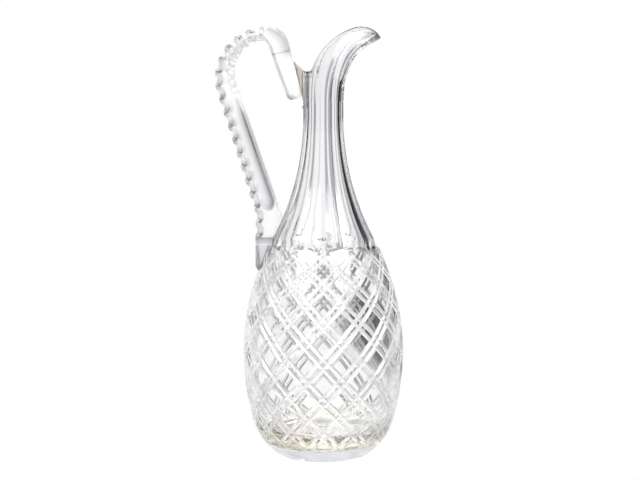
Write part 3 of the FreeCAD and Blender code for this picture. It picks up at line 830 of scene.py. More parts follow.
    def cavity_profile(self) -> list[tuple[float, float]]:
        """Points of the inside from the middle of the floor to the throat.

        Returns:
            Pairs of radius and height.
        """
        belly = self.belly_arc - self.wall
        centre = Vector((self.belly_r - self.belly_arc, self.belly_z))
        corner_z = self.floor_z + self.cavity_heel
        reach = math.sqrt((belly - self.cavity_heel) ** 2 - (centre.y - corner_z) ** 2)
        corner = Vector((centre.x + reach, corner_z))
        across = self.bore_r - centre.x
        rise = self.neck_low_z - centre.y
        arc = (across ** 2 + rise ** 2 - belly ** 2) / (2 * (belly - across))
        neck = centre + Vector((across + arc, rise))
        low = math.atan2(corner.y - centre.y, corner.x - centre.x)
        top = math.atan2(neck.y - centre.y, neck.x - centre.x)
        points = [(radius, self.floor_z) for radius in (*self.floor_rings, corner.x)]
        points += arc_points(corner, self.cavity_heel, -math.pi / 2, low, self.heel_steps)
        points += arc_points(centre, belly, low, top, self.belly_steps)
        points += arc_points(neck, -arc, top, 0.0, self.neck_steps)
        return points + [(self.bore_r, self.throat_z)]

    def build_neck(self, bm: BMesh, band_top: Ring) -> Ring:
        """Model the collar, the flutes with their ledges and the neck.

        Args:
            bm: mesh to add to.
            band_top: upper ring of the cut band.

        Returns:
            The ring at the throat.
        """
        columns = range(self.panels * COLUMNS_PER_PANEL)
        start_z = self.lattice.top_z + self.collar_gap
        feet = [self.column_angle(column, self.flute_foot_z) for column in columns]
        ring = make_ring(bm, [polar(a, self.round_radius(start_z), start_z) for a in feet])
        zip_rings(bm, band_top, ring)
        edges = [self.ledge_edge(a) for a in feet]
        for share in (0.5, 1.0):
            row = [start_z + (edge - self.ledge_gap - start_z) * share for edge in edges]
            above = make_ring(bm, [polar(a, self.round_radius(z), z) for a, z in zip(feet, row)])
            skin(bm, ring, above)
            ring = above
        levels = [*np.linspace(self.flute_foot_z, self.foot_top_z, self.foot_rows),
                  *np.linspace(self.neck_start_z, self.throat_z, self.neck_rows)]
        for height in levels:
            angles = [self.column_angle(column, height) for column in columns]
            above = make_ring(bm, [polar(a, self.fluted_radius(a, height), height) for a in angles])
            # painted shade lines on the arrises, fainter low on the neck
            grown = self.arris_low_share + (1 - self.arris_low_share) * smooth(height, *self.arris_grown_span)
            for column, vertex in enumerate(above):
                self.paint(bm, vertex, self.arris_shade(column) * grown)
            skin(bm, ring, above)
            ring = above
        return ring

    def arris_shade(self, column: int) -> float:
        """Painted shade line on the thin land between two flutes, darker towards the handle and the beak.

        Args:
            column: number of the mesh column.

        Returns:
            The share of the line tone, 0 away from the lands.
        """
        aside = min(column % COLUMNS_PER_PANEL, -column % COLUMNS_PER_PANEL)
        if aside >= len(self.arris_shades):
            return 0.0
        sideways = abs(math.sin(self.column_angle(column, self.throat_z)))
        return self.arris_shades[aside] + self.arris_side_shade * smooth(sideways, *self.arris_side_span)

    def lip_shade(self, angle: float, below_rim: float, point: Vector) -> float:
        """Painted shade of the outer lip: its rim, a second line inside it, the tip and the beak's two edges.

        Args:
            angle: angle round the axis.
            below_rim: distance below the rim.
            point: the place, in metres.

        Returns:
            The share of the line tone, from 0 to 1.
        """
        rim = self.rim_shade * (1 - smooth(below_rim, *self.rim_line_span))
        second = self.second_shade * bell(below_rim, self.second_below, self.second_half)
        tip = self.tip_shade * smooth(point.x / MM, *self.tip_span)
        off_beak = abs(math.degrees(angle - math.pi / 2))
        edge = bell(off_beak, self.beak_line_deg, self.beak_line_half_deg)
        return min(1.0, rim + second + tip + edge)

    def paint(self, bm: BMesh, vertex: BMVert, shade: float) -> None:
        """Give a vertex of the clear glass its painted shade."""
        vertex[bm.verts.layers.float_color[TONE]] = mix_tone(self.clear_tone, self.painted_line_shade_tone, shade)

    def build_lip(self, bm: BMesh, ring: Ring, inside: bool) -> Ring:
        """Model one face of the lip up to the rim line.

        Args:
            bm: mesh to add to.
            ring: ring at the throat that the lip grows from.
            inside: True for the inner face.

        Returns:
            The ring along the rim.
        """
        if inside:
            angles = [ring_angle(vertex) for vertex in ring]
        else:
            angles = [self.column_angle(column, self.throat_z) for column in range(len(ring))]
        tops = [self.rim_of(angle, inside) for angle in angles]
        rest = self.lip_near_rows[0]
        shares = [(row / self.lip_rows, rest) for row in range(1, self.lip_rows + 1)]
        shares += [(1.0, below) for below in self.lip_near_rows[1:]]
        for share, below in shares:
            levels = [top - below - (1 - share) * (top - rest - self.throat_z) for top in tops]
            above = make_ring(bm, [self.lip_point(angle, z, inside) for angle, z in zip(angles, levels)])
            for vertex, angle, level, top in zip(above, angles, levels, tops):
                # painted shade lines along the rim, outside and inside
                shade = self.lip_shade(angle, top - level, vertex.co)
                if inside:
                    shade = self.inner_rim_shade * (1 - smooth(top - level, *self.inner_rim_span))
                self.paint(bm, vertex, shade)
            skin(bm, ring, above)
            ring = above
        return ring

    def build(self) -> bpy.types.Object:
        """Model the whole vessel as one closed mesh.

        Returns:
            The vessel, bound to the frame.
        """
        bm = bmesh.new()
        tone = bm.verts.layers.float_color.new(TONE)
        band_low, band_top = self.build_lattice(bm)
        heel_top = self.build_heel(bm)
        zip_rings(bm, heel_top, band_low)
        throat = self.build_neck(bm, band_top)
        rim_out = self.build_lip(bm, throat, inside=False)
        bore = self.spin_profile(bm, self.cavity_profile(), Finish.FLOOR)
        rim_in = self.build_lip(bm, bore, inside=True)
        zip_rings(bm, rim_out, rim_in)
        self.round_rim(bm, rim_out, rim_in)
        for vertex in bm.verts:
            if vertex[tone][3] == 0:
                self.paint(bm, vertex, 0.0)
        piece = finish_mesh(bm, "vessel_cut_glass", [finish.glass() for finish in Finish], self.crease_deg)
        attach(piece, "root")
        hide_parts("vessel")
        return piece

    def round_rim(self, bm: BMesh, *rings: Ring) -> None:
        """Round both edges of the rim.

        Args:
            bm: mesh of the vessel.
            rings: outer and inner ring of the rim.
        """
        edges = []
        for ring in rings:
            members = set(ring)
            edges += [edge for vertex in ring for edge in vertex.link_edges if set(edge.verts) <= members]
        bmesh.ops.bevel(bm, geom=list(set(edges)), offset=self.rim_round * MM, affect="EDGES",
                        segments=self.rim_segments, profile=0.5, material=-1, clamp_overlap=True)


@dataclass(frozen=True)
class Scoop:
    """Ball-shaped hollow ground into an edge, or a round groove right across where it has no side."""

    centre: Place
    radius: float
    across: bool = False
    # share of the painted shade inside the hollow
    grey: float = 0.9


@dataclass
class Handle:
    """Applied handle: a faceted bar with scooped edges, folded over and welded to the neck."""

    glass: Glass
    vessel: Vessel
    # outer line from the root to the tongue's tip
    root_x: float = -50.47
    root_low_z: float = 137.7
    root_toe_z: float = 141.0
    root_toe_x: float = -46.5
    root_toe_run: float = 8.0
    root_top_z: float = 181.0
    lean_deg: float = 17.4
    lean_before: float = 10.0
    lean_after: float = 8.0
    bend_x: float = -41.7
    bend_z: float = 280.0
    bend_r: float = 38.0
    fold_r: float = 17.0
    tongue_lean_deg: float = 13.6
    tongue_low_z: float = 264.6
    tip_round: float = 4.0
    tip_least: float = 0.02
    # inner line in side view
    inner_foot: Stops = ((-42.0, 130.0), (-27.17, 168.5))
    inner_bend_at: Span = (-43.1, 284.57)
    inner_bend_r: float = 22.73
    inner_bend_deg: Sequence[int] = range(199, 89, -2)
    inner_tongue: Stops = ((-42.3, 307.0), (-41.5, 306.3), (-40.6, 304.5), (-36.6, 293.5), (-33.0, 283.0),
                           (-29.6, 274.5), (-28.0, 270.5), (-27.6, 268.0), (-26.4, 265.5), (-24.0, 262.5),
                           (-22.0, 255.0))
    most_thick: float = 60.0
    least_thick: float = 2.0
    # section of the bar
    half_width: float = 8.0
    edge: float = 2.2
    step: float = 0.7
    outer_points: int = 6
    edge_points: int = 5
    side_points: int = 17
    inner_points: int = 5
    crease_deg: float = 20.0
    # grooves and hollows along the edges
    scoop_pitch: float = 10.5
    scoop_first: int = -8
    scoop_last: int = 6
    root_scoops: int = 2
    groove_r: float = 5.05
    groove_depth: float = 1.5
    scoop_r: float = 8.2
    scoop_lift: float = 0.5
    scoop_aside: float = 4.5
    scoop_reach: float = 32.0
    grip_inner_r: float = 4.9
    grip_inner_lift: float = 2.8
    grip_inner_aside: float = 2.8
    bend_inner_r: float = 6.4
    bend_inner_aside: float = 3.2
    # long hollow in each side of the grip
    panel_depth: float = 1.2
    panel_below: float = 1.0
    panel_above: float = 2.0
    panel_round: float = 9.0
    panel_fade: float = 18.0
    panel_middle: float = 0.62
    panel_over: float = 0.6
    panel_least: float = 0.35
    # clearance to the vessel, and the drop of glass between the tongue and the neck
    lip_clear_z: float = 290.0
    weld_gap: float = 0.05
    weld_low_z: float = 258.0
    weld_top_z: float = 292.6
    weld_rows: int = 56
    weld_columns: int = 28
    weld_right: Stops = ((258.0, -16.2), (261.0, -14.9), (284.6, -14.9), (284.7, -12.4), (285.6, -13.6),
                         (287.2, -16.0), (289.4, -18.6), (292.6, -21.8))
    weld_half: Stops = ((258.0, 1.5), (262.0, 3.4), (267.0, 4.8), (280.0, 5.6), (288.0, 5.0), (292.6, 2.6))
    weld_bulge_power: float = 0.6
    weld_aside_power: float = 0.7
    weld_tone: Tone = (0.50, 0.41, 0.30)
    weld_side_tone: Tone = (0.78, 0.76, 0.74)
    # painted shade: its tone, and the painted shade of the hollows and the root
    shade_tone: Tone = (0.20, 0.20, 0.225)
    scoop_grey_span: Span = (-0.1, 0.9)
    inner_scoop_grey: float = 0.4
    root_grey: float = 0.05
    brow_drop: float = 18.0
    brow_height: float = 5.0
    brow_grey: float = 0.8
    brow_fade: float = 0.35
    brow_line: float = 1.0
    brow_line_grey: float = 0.1
    leaf_length: float = 20.0
    leaf_middle: float = 0.3
    leaf_least: float = 0.1
    leaf_grey: float = 0.3
    leaf_low_grey: float = 0.15
    leaf_side_grey: float = 0.25
    leaf_edge_grey: float = 0.5
    leaf_edge_half: float = 0.3
    # painted shade of the grip
    panel_end_rise: float = 7.0
    panel_end_middle: float = 0.6
    panel_end_half: float = 0.4
    panel_end_grey: float = 0.4
    panel_end_line: float = 0.8
    panel_grey: float = 0.55
    panel_grey_across: Span = (0.25, 0.95)
    panel_grey_down: Span = (0.0, 30.0)
    panel_foot_grey: float = 0.35
    grip_line_grey: float = 0.7
    grip_line_in: float = 0.3
    grip_line_half: float = 0.55
    grip_line_down: Span = (12.0, 22.0)
    # painted shade of the bend, the fold and the tongue
    bend_grey: float = 0.04
    fold_grey: float = 0.5
    fold_grey_across: float = 0.7
    fold_before: float = 4.0
    fold_after: float = 6.0
    fold_fade: Span = (4.0, 12.0)
    fold_line_at: float = 5.0
    fold_line_half: float = 0.6
    fold_line_grey: float = 0.35
    fold_line_inner_grey: float = 0.6
    fold_line_across: Span = (0.75, 0.95)
    tongue_edge_grey: float = 0.15
    tongue_edge_across: Span = (0.9, 1.0)
    tongue_edge_run: float = 2.0
    tip_grey: float = 0.85
    tip_grey_run: Span = (7.0, 2.0)
    tip_grey_across: Span = (0.3, 0.8)

    def __post_init__(self) -> None:
        """Work out the lengths along the outer line, counted from the start of the bend."""
        lean, tongue = math.radians(self.lean_deg), math.radians(self.tongue_lean_deg)
        self.bend_start = Vector((self.bend_x - self.bend_r * math.cos(lean),
                                  self.bend_z - self.bend_r * math.sin(lean)))
        self.grip_length = (self.bend_start.y - self.root_top_z) / math.cos(lean)
        self.root_length = self.root_top_z - self.root_low_z
        self.bend_length = self.bend_r * (math.pi / 2 + lean)
        self.fold_length = self.fold_r * (math.pi / 2 - tongue)
        self.fold_z = self.bend_z + self.bend_r - self.fold_r
        self.fold_end_x = self.bend_x + self.fold_r * math.cos(tongue)
        self.fold_end_z = self.fold_z + self.fold_r * math.sin(tongue)
        self.inner = self.inner_line()

    def inner_line(self) -> list[Vector]:
        """Inner outline in side view, from inside the shoulder to the tongue's tip.

        Returns:
            The points in order.
        """
        centre = Vector(self.inner_bend_at)
        points = [Vector(place) for place in self.inner_foot]
        for degrees in self.inner_bend_deg:
            turn = math.radians(degrees)
            points.append(centre + Vector((math.cos(turn), math.sin(turn))) * self.inner_bend_r)
        return points + [Vector(place) for place in self.inner_tongue]

    def outer_at(self, along: float) -> tuple[Vector, float]:
        """Point of the outer line and direction of the section there.

        Args:
            along: length along the outer line from the start of the bend.

        Returns:
            The point in side view and the angle of the section's line towards the inner side.
        """
        lean = math.radians(self.lean_deg)
        corner = -self.grip_length
        turn = lean * smooth(along, corner - self.lean_before, corner + self.lean_after)
        if along < corner:
            height = self.root_top_z + along - corner
            toe = max(0.0, self.root_toe_z - height) / self.root_toe_run * (self.root_toe_x - self.root_x)
            return Vector((self.root_x + toe, height)), turn
        if along < 0:
            return self.bend_start + Vector((-math.sin(lean), math.cos(lean))) * along, turn
        if along < self.bend_length:
            turn = math.pi + lean - along / self.bend_r
            spoke = Vector((math.cos(turn), math.sin(turn)))
            return Vector((self.bend_x, self.bend_z)) + spoke * self.bend_r, turn - math.pi
        turn = max(math.radians(self.tongue_lean_deg), math.pi / 2 - (along - self.bend_length) / self.fold_r)
        spoke = Vector((math.cos(turn), math.sin(turn)))
        rest = max(0.0, along - self.bend_length - self.fold_length)
        point = Vector((self.bend_x, self.fold_z)) + spoke * self.fold_r
        return point + Vector((math.sin(turn), -math.cos(turn))) * rest, turn - math.pi

    def thickness(self, outer: Vector, angle: float) -> float:
        """Distance from an outer point to the inner outline along the section.

        Args:
            outer: point of the outer line in side view.
            angle: angle of the section's line towards the inner side.

        Returns:
            The shortest distance at which the line meets the inner outline.
        """
        ray = Vector((math.cos(angle), math.sin(angle)))
        best = self.most_thick
        for start, end in zip(self.inner, self.inner[1:]):
            edge = end - start
            cross = ray.cross(edge)
            if abs(cross) < PARALLEL:
                continue
            reach = (start - outer).cross(edge) / cross
            share = (start - outer).cross(ray) / cross
            if -END_SLACK <= share <= 1 + END_SLACK and self.least_thick < reach < best:
                best = reach
        return best

    def section(self, along: float, thick: float) -> np.ndarray:
        """Outline of the bar before scooping.

        Args:
            along: length along the outer line.
            thick: thickness of the bar there.

        Returns:
            A ring of points, each a depth from the outer face and a distance sideways.
        """
        half, edge = self.half_width, min(self.edge, thick / 3)
        side = []
        for share in np.linspace(0, 1, self.outer_points, endpoint=False):
            side.append((0.0, (half - edge) * share))
        for share in np.linspace(0, 1, self.edge_points, endpoint=False):
            side.append((edge * share, half - edge + edge * share))
        for share in np.linspace(0, 1, self.side_points, endpoint=False):
            depth = edge + (thick - 2 * edge) * share
            side.append((depth, half - self.panel_cut(along, depth, thick)))
        for share in np.linspace(0, 1, self.edge_points, endpoint=False):
            side.append((thick - edge + edge * share, half - edge * share))
        for share in np.linspace(0, 1, self.inner_points):
            side.append((thick, (half - edge) * (1 - share)))
        mirrored = [(depth, -aside) for depth, aside in side[-2:0:-1]]
        return np.array(side + mirrored)

    def panel_cut(self, along: float, depth: float, thick: float) -> float:
        """Depth of the long hollow ground into each side of the grip, with a round lower end.

        Args:
            along: length along the outer line.
            depth: distance in from the outer face.
            thick: thickness of the bar there.

        Returns:
            The depth at that place, 0 outside the hollow.
        """
        low, high = -self.grip_length - self.panel_below, self.panel_above
        end = min(1.0, max(0.0, (along - low) / self.panel_round))
        grown = math.sqrt(1 - (1 - end) ** 2) * (1 - smooth(along, high - self.panel_fade, high))
        if grown <= 0:
            return 0.0
        middle = thick * self.panel_middle
        reach = thick - self.edge - middle + self.panel_over
        reach *= self.panel_least + (1 - self.panel_least) * grown
        across = (depth - middle) / reach
        return self.panel_depth * grown * max(0.0, 1 - across * across)

    def scoops(self) -> list[Scoop]:
        """Every hollow along the outer and inner edges.

        Returns:
            The hollows, from the root to the bend.
        """
        hollows = []
        for index in range(self.scoop_first - self.root_scoops, self.scoop_last + 1):
            along = index * self.scoop_pitch
            outer, angle = self.outer_at(along)
            ray = Vector((math.cos(angle), math.sin(angle)))
            groove = outer - ray * (self.groove_r - self.groove_depth)
            hollows.append(Scoop((groove.x, 0.0, groove.y), self.groove_r, across=True))
            rim = outer - ray * self.scoop_lift
            inner = outer + ray * self.thickness(outer, angle)
            bent = index >= 0
            far = inner + ray * (0.0 if bent else self.grip_inner_lift)
            radius = self.bend_inner_r if bent else self.grip_inner_r
            out = self.half_width + self.scoop_aside
            inner_out = self.half_width + (self.bend_inner_aside if bent else self.grip_inner_aside)
            for side in (-1, 1):
                hollows.append(Scoop((rim.x, side * out, rim.y), self.scoop_r))
                if index >= self.scoop_first:
                    centre = (far.x, side * inner_out, far.y)
                    hollows.append(Scoop(centre, radius, grey=self.inner_scoop_grey))
        return hollows

    @staticmethod
    def carve(middle: np.ndarray, ring: np.ndarray,
              hollows: Sequence[Scoop]) -> tuple[np.ndarray, list[Scoop | None]]:
        """Draw ring points in towards the middle until they are outside every hollow.

        Args:
            middle: point inside the section.
            ring: points of the section, one per row.
            hollows: the hollows to clear.

        Returns:
            The carved ring, and the hollow that each of its points lies in.
        """
        beyond, least, guard = 2.0, 0.02, 1e-12
        rays = ring - middle
        share = np.ones(len(ring))
        inside_of: list[Scoop | None] = [None] * len(ring)
        for hollow in hollows:
            way, gap = rays.copy(), middle - np.array(hollow.centre)
            if hollow.across:
                way[:, 1], gap[1] = 0.0, 0.0
            square = (way ** 2).sum(1) + guard
            slope = way @ gap / square
            inside = slope ** 2 - (gap @ gap - hollow.radius ** 2) / square
            entry = np.where(inside > 0, -slope - np.sqrt(np.maximum(inside, 0)), beyond)
            entry = np.where(entry > least, entry, beyond)
            for index in np.flatnonzero(entry < share):
                inside_of[index] = hollow
            share = np.minimum(share, entry)
        return middle + rays * share[:, None], inside_of

    def clear_vessel(self, ring: np.ndarray) -> np.ndarray:
        """Move points that lie in the vessel out to just off its surface.

        Args:
            ring: points of the handle, one per row.

        Returns:
            The points, moved where they had to be.
        """
        cleared = ring.copy()
        for point in cleared:
            angle = math.atan2(point[0], -point[1])
            if point[2] > self.vessel.rim_height(point[0]) + self.weld_gap:
                continue
            if point[2] >= self.vessel.throat_z:
                height = min(point[2], self.lip_clear_z)
                surface = self.vessel.lip_point(angle, height, False).xy.length / MM
            else:
                surface = self.vessel.surface_radius(angle, point[2])
            radius = math.hypot(point[0], point[1])
            if radius < surface + self.weld_gap:
                point[:2] *= (surface + self.weld_gap) / radius
        return cleared

    def build_bar(self, bm: BMesh) -> None:
        """Sweep the section along the handle, carve it and close both ends.

        Args:
            bm: mesh to add to.
        """
        tone = bm.verts.layers.float_color[TONE]
        hollows = self.scoops()
        centres = np.array([hollow.centre for hollow in hollows])
        low = -self.grip_length - self.root_length
        tongue_fall = math.cos(math.radians(self.tongue_lean_deg))
        high = self.bend_length + self.fold_length + (self.fold_end_z - self.tongue_low_z) / tongue_fall
        rings: list[Ring] = []
        for along in np.linspace(low, high, int((high - low) / self.step)):
            outer, angle = self.outer_at(along)
            thick = self.thickness(outer, angle)
            ray = np.array([math.cos(angle), 0.0, math.sin(angle)])
            start = np.array([outer.x, 0.0, outer.y])
            flat = self.section(along, thick)
            end = max(0.0, 1 - (high - along) / self.tip_round)
            shrink = math.sqrt(max(self.tip_least, 1 - end * end))
            flat = (flat - [thick / 2, 0.0]) * shrink + [thick / 2, 0.0]
            ring = start + flat[:, :1] * ray + flat[:, 1:] * np.array([0.0, 1.0, 0.0])
            middle = start + ray * thick / 2
            gaps = np.linalg.norm(centres - middle, axis=1)
            near = [hollow for hollow, gap in zip(hollows, gaps) if gap < self.scoop_reach]
            ring, inside_of = self.carve(middle, ring, near)
            ring = self.clear_vessel(ring)
            rings.append(make_ring(bm, [Vector(point) * MM for point in ring]))
            for vertex, place, point, hollow in zip(rings[-1], flat, ring, inside_of):
                # painted shade of the handle, kept in the vertex tone
                shade = self.shade(along, place[0], thick, high)
                if hollow is not None:
                    shade = self.scoop_shade(point, hollow, angle)
                vertex[tone] = mix_tone(WHITE, self.shade_tone, shade)
        close_rings(bm, rings)

    def shade(self, along: float, depth: float, thick: float, end: float) -> float:
        """Painted shade of the plain glass at a place of the handle.

        Args:
            along: length along the outer line.
            depth: distance in from the outer face.
            thick: thickness of the handle there.
            end: length at which the tongue ends.

        Returns:
            The share of the shade tone, from 0 to 1.
        """
        across = depth / thick
        foot = -self.grip_length
        if along < foot - self.brow_drop:
            return self.root_shade(foot - self.brow_drop - along, across)
        if along < foot - self.panel_below:
            return self.root_grey
        if along < self.panel_above:
            return self.grip_shade(along, depth, thick)
        if along < self.bend_length - self.fold_before:
            return self.bend_grey
        return self.fold_shade(along, across, end)

    def root_shade(self, fall: float, across: float) -> float:
        """Painted shade of the faceted root: a dark brow, a bright line below it and a leaf-shaped facet.

        Args:
            fall: distance below the upper edge of the brow.
            across: share of the thickness, in from the outer face.

        Returns:
            The share of the shade tone, from 0 to 1.
        """
        if fall < self.brow_height:
            return self.brow_grey - self.brow_fade * fall / self.brow_height
        if fall < self.brow_height + self.brow_line:
            return self.brow_line_grey
        low = min(1.0, (fall - self.brow_height) / self.leaf_length)
        side = abs(across - self.leaf_middle) / (self.leaf_middle * max(self.leaf_least, 1 - low))
        leaf_edge = self.leaf_edge_grey * bell(side, 1, self.leaf_edge_half)
        leaf_side = self.leaf_side_grey * smooth(side, 1, 2)
        return min(1.0, self.leaf_grey + leaf_edge + leaf_side + self.leaf_low_grey * low)

    def grip_shade(self, along: float, depth: float, thick: float) -> float:
        """Painted shade of the grip: the round end of the side hollow, the hollow and the line of its inner
        edge.

        Args:
            along: length along the outer line.
            depth: distance in from the outer face.
            thick: thickness of the handle there.

        Returns:
            The share of the shade tone, from 0 to 1.
        """
        across = depth / thick
        foot = -self.grip_length
        off_middle = (across - self.panel_end_middle) / self.panel_end_half
        round_end = foot + self.panel_end_rise * off_middle ** 2
        if along < round_end:
            return self.root_grey + self.panel_end_grey * bell(along, round_end, self.panel_end_line)
        panel = self.panel_grey * smooth(across, *self.panel_grey_across)
        panel *= smooth(-along, *self.panel_grey_down)
        heel = self.panel_foot_grey * (1 - smooth(along - foot, 0, self.panel_end_rise))
        line = bell(depth, thick - self.edge - self.grip_line_in, self.grip_line_half)
        return min(1.0, panel + heel + self.grip_line_grey * line * smooth(-along, *self.grip_line_down))

    def fold_shade(self, along: float, across: float, end: float) -> float:
        """Painted shade of the fold and the tongue: the fold's outer side, a line below it, the edge and the
        tip.

        Args:
            along: length along the outer line.
            across: share of the thickness, in from the outer face.
            end: length at which the tongue ends.

        Returns:
            The share of the shade tone, from 0 to 1.
        """
        start, past = self.bend_length, along - self.bend_length - self.fold_length
        fold = self.fold_grey * (1 - smooth(across, 0.0, self.fold_grey_across))
        fold *= smooth(along, start - self.fold_before, start + self.fold_after)
        fold *= 1 - smooth(past, *self.fold_fade)
        line = self.fold_line_grey + self.fold_line_inner_grey * smooth(across, *self.fold_line_across)
        line *= bell(past, self.fold_line_at, self.fold_line_half)
        edge = self.tongue_edge_grey * smooth(across, *self.tongue_edge_across)
        edge *= smooth(past, self.fold_line_at, self.fold_line_at + self.tongue_edge_run)
        tip_start, tip_full = (end - run for run in self.tip_grey_run)
        tip = self.tip_grey * smooth(along, tip_start, tip_full) * smooth(across, *self.tip_grey_across)
        return min(1.0, fold + line + edge + tip)

    def scoop_shade(self, point: np.ndarray, hollow: Scoop, angle: float) -> float:
        """Painted shade inside a hollow, deepest at the end that lies towards the root.

        Args:
            point: the place.
            hollow: the hollow that it lies in.
            angle: angle of the section there.

        Returns:
            The share of the shade tone, from 0 to 1.
        """
        down = np.array([math.sin(angle), 0.0, -math.cos(angle)])
        along = (point - np.array(hollow.centre)) @ down / (self.scoop_pitch / 2)
        return hollow.grey * smooth(along, *self.scoop_grey_span)

    def build_weld(self, bm: BMesh) -> None:
        """Model the drop of glass between the tongue and the neck.

        Args:
            bm: mesh to add to.
        """
        tone = bm.verts.layers.float_color[TONE]
        tongue_slope = math.tan(math.radians(self.tongue_lean_deg))
        right_at, half_at = Curve(self.weld_right), Curve(self.weld_half)
        turns = np.linspace(0, math.tau, self.weld_columns, endpoint=False)
        rings: list[Ring] = []
        for height in np.linspace(self.weld_low_z, self.weld_top_z, self.weld_rows):
            left = self.fold_end_x + (self.fold_end_z - height) * tongue_slope + self.weld_gap
            right, half = right_at(height), half_at(height)
            places = []
            for turn in turns:
                bulge = math.copysign(abs(math.cos(turn)) ** self.weld_bulge_power, math.cos(turn))
                aside = math.copysign(abs(math.sin(turn)) ** self.weld_aside_power, math.sin(turn))
                places.append(((left + right) / 2 + (right - left) / 2 * bulge, half * aside, height))
            cleared = self.clear_vessel(np.array(places))
            rings.append(make_ring(bm, [Vector(point) * MM for point in cleared]))
            for vertex, turn in zip(rings[-1], turns):
                vertex[tone] = mix_tone(self.weld_tone, self.weld_side_tone, 0.5 + 0.5 * math.cos(turn))
        close_rings(bm, rings)

    def build(self) -> bpy.types.Object:
        """Model the bar and its weld as one piece.

        Returns:
            The handle, bound to the frame.
        """
        bm = bmesh.new()
        bm.verts.layers.float_color.new(TONE)
        self.build_bar(bm)
        self.build_weld(bm)
        piece = finish_mesh(bm, "handle_scooped_glass", (self.glass,), self.crease_deg)
        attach(piece, "root")
        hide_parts("handle")
        return piece


class Wall(Enum):
    """Wall tones of the room, as they show in the glass."""

    WHITE = (1.0, 1.0, 1.0, 1.0)
    SHADE = (0.085, 0.082, 0.098, 1.0)
    GREY = (0.42, 0.42, 0.44, 1.0)
    HAZE = (0.46, 0.45, 0.485, 1.0)
    BLACK = (0.012, 0.012, 0.014, 1.0)
    LAMP = (9.0, 9.0, 9.0, 1.0)


@dataclass(frozen=True)
class Patch:
    """Soft-edged round patch of the room by bearing from the backdrop, elevation and size."""

    bearing_deg: float
    lift_deg: float
    half_deg: float
    soft_deg: float
    tone: Wall

    def axis(self) -> Place:
        """Direction of the middle of the patch."""
        bearing, lift = math.radians(self.bearing_deg), math.radians(self.lift_deg)
        return (math.sin(bearing) * math.cos(lift), math.cos(bearing) * math.cos(lift), math.sin(lift))


@dataclass
class Paint:
    """Node tree of a room or a material, with the few steps that its colour is mixed from."""

    tree: bpy.types.NodeTree

    def node(self, kind: str, **options: str) -> bpy.types.Node:
        """Add a node and set its options.

        Args:
            kind: type of the node.
            options: its settings by name.

        Returns:
            The node.
        """
        made = self.tree.nodes.new(kind)
        for name, value in options.items():
            setattr(made, name, value)
        return made

    def vector(self, operation: str, source: Socket, other: Place) -> bpy.types.Node:
        """Add a step of vector arithmetic with a fixed second vector.

        Args:
            operation: name of the step.
            source: first vector.
            other: second vector.

        Returns:
            The node.
        """
        made = self.node("ShaderNodeVectorMath", operation=operation)
        made.inputs[1].default_value = other
        self.tree.links.new(source, made.inputs[0])
        return made

    def mask(self, source: Socket, low: float, high: float) -> Socket:
        """Add a soft rise from 0 at low to 1 at high.

        Args:
            source: value to measure.
            low: value of the start.
            high: value of the end.

        Returns:
            The share.
        """
        made = self.node("ShaderNodeMapRange", interpolation_type="SMOOTHSTEP")
        made.inputs["From Min"].default_value = low
        made.inputs["From Max"].default_value = high
        self.tree.links.new(source, made.inputs["Value"])
        return made.outputs["Result"]

    def blend(self, factor: Socket, below: Colour, above: Colour) -> Socket:
        """Lay one colour over another.

        Args:
            factor: share of the upper colour.
            below: lower colour, fixed or from another node.
            above: upper colour, fixed or from another node.

        Returns:
            The mixed colour.
        """
        made = self.node("ShaderNodeMix", data_type="RGBA")
        self.tree.links.new(factor, made.inputs[MIX_FACTOR])
        for place, colour in ((MIX_BELOW, below), (MIX_ABOVE, above)):
            if isinstance(colour, Socket):
                self.tree.links.new(colour, made.inputs[place])
            else:
                made.inputs[place].default_value = colour
        return made.outputs[MIX_RESULT]


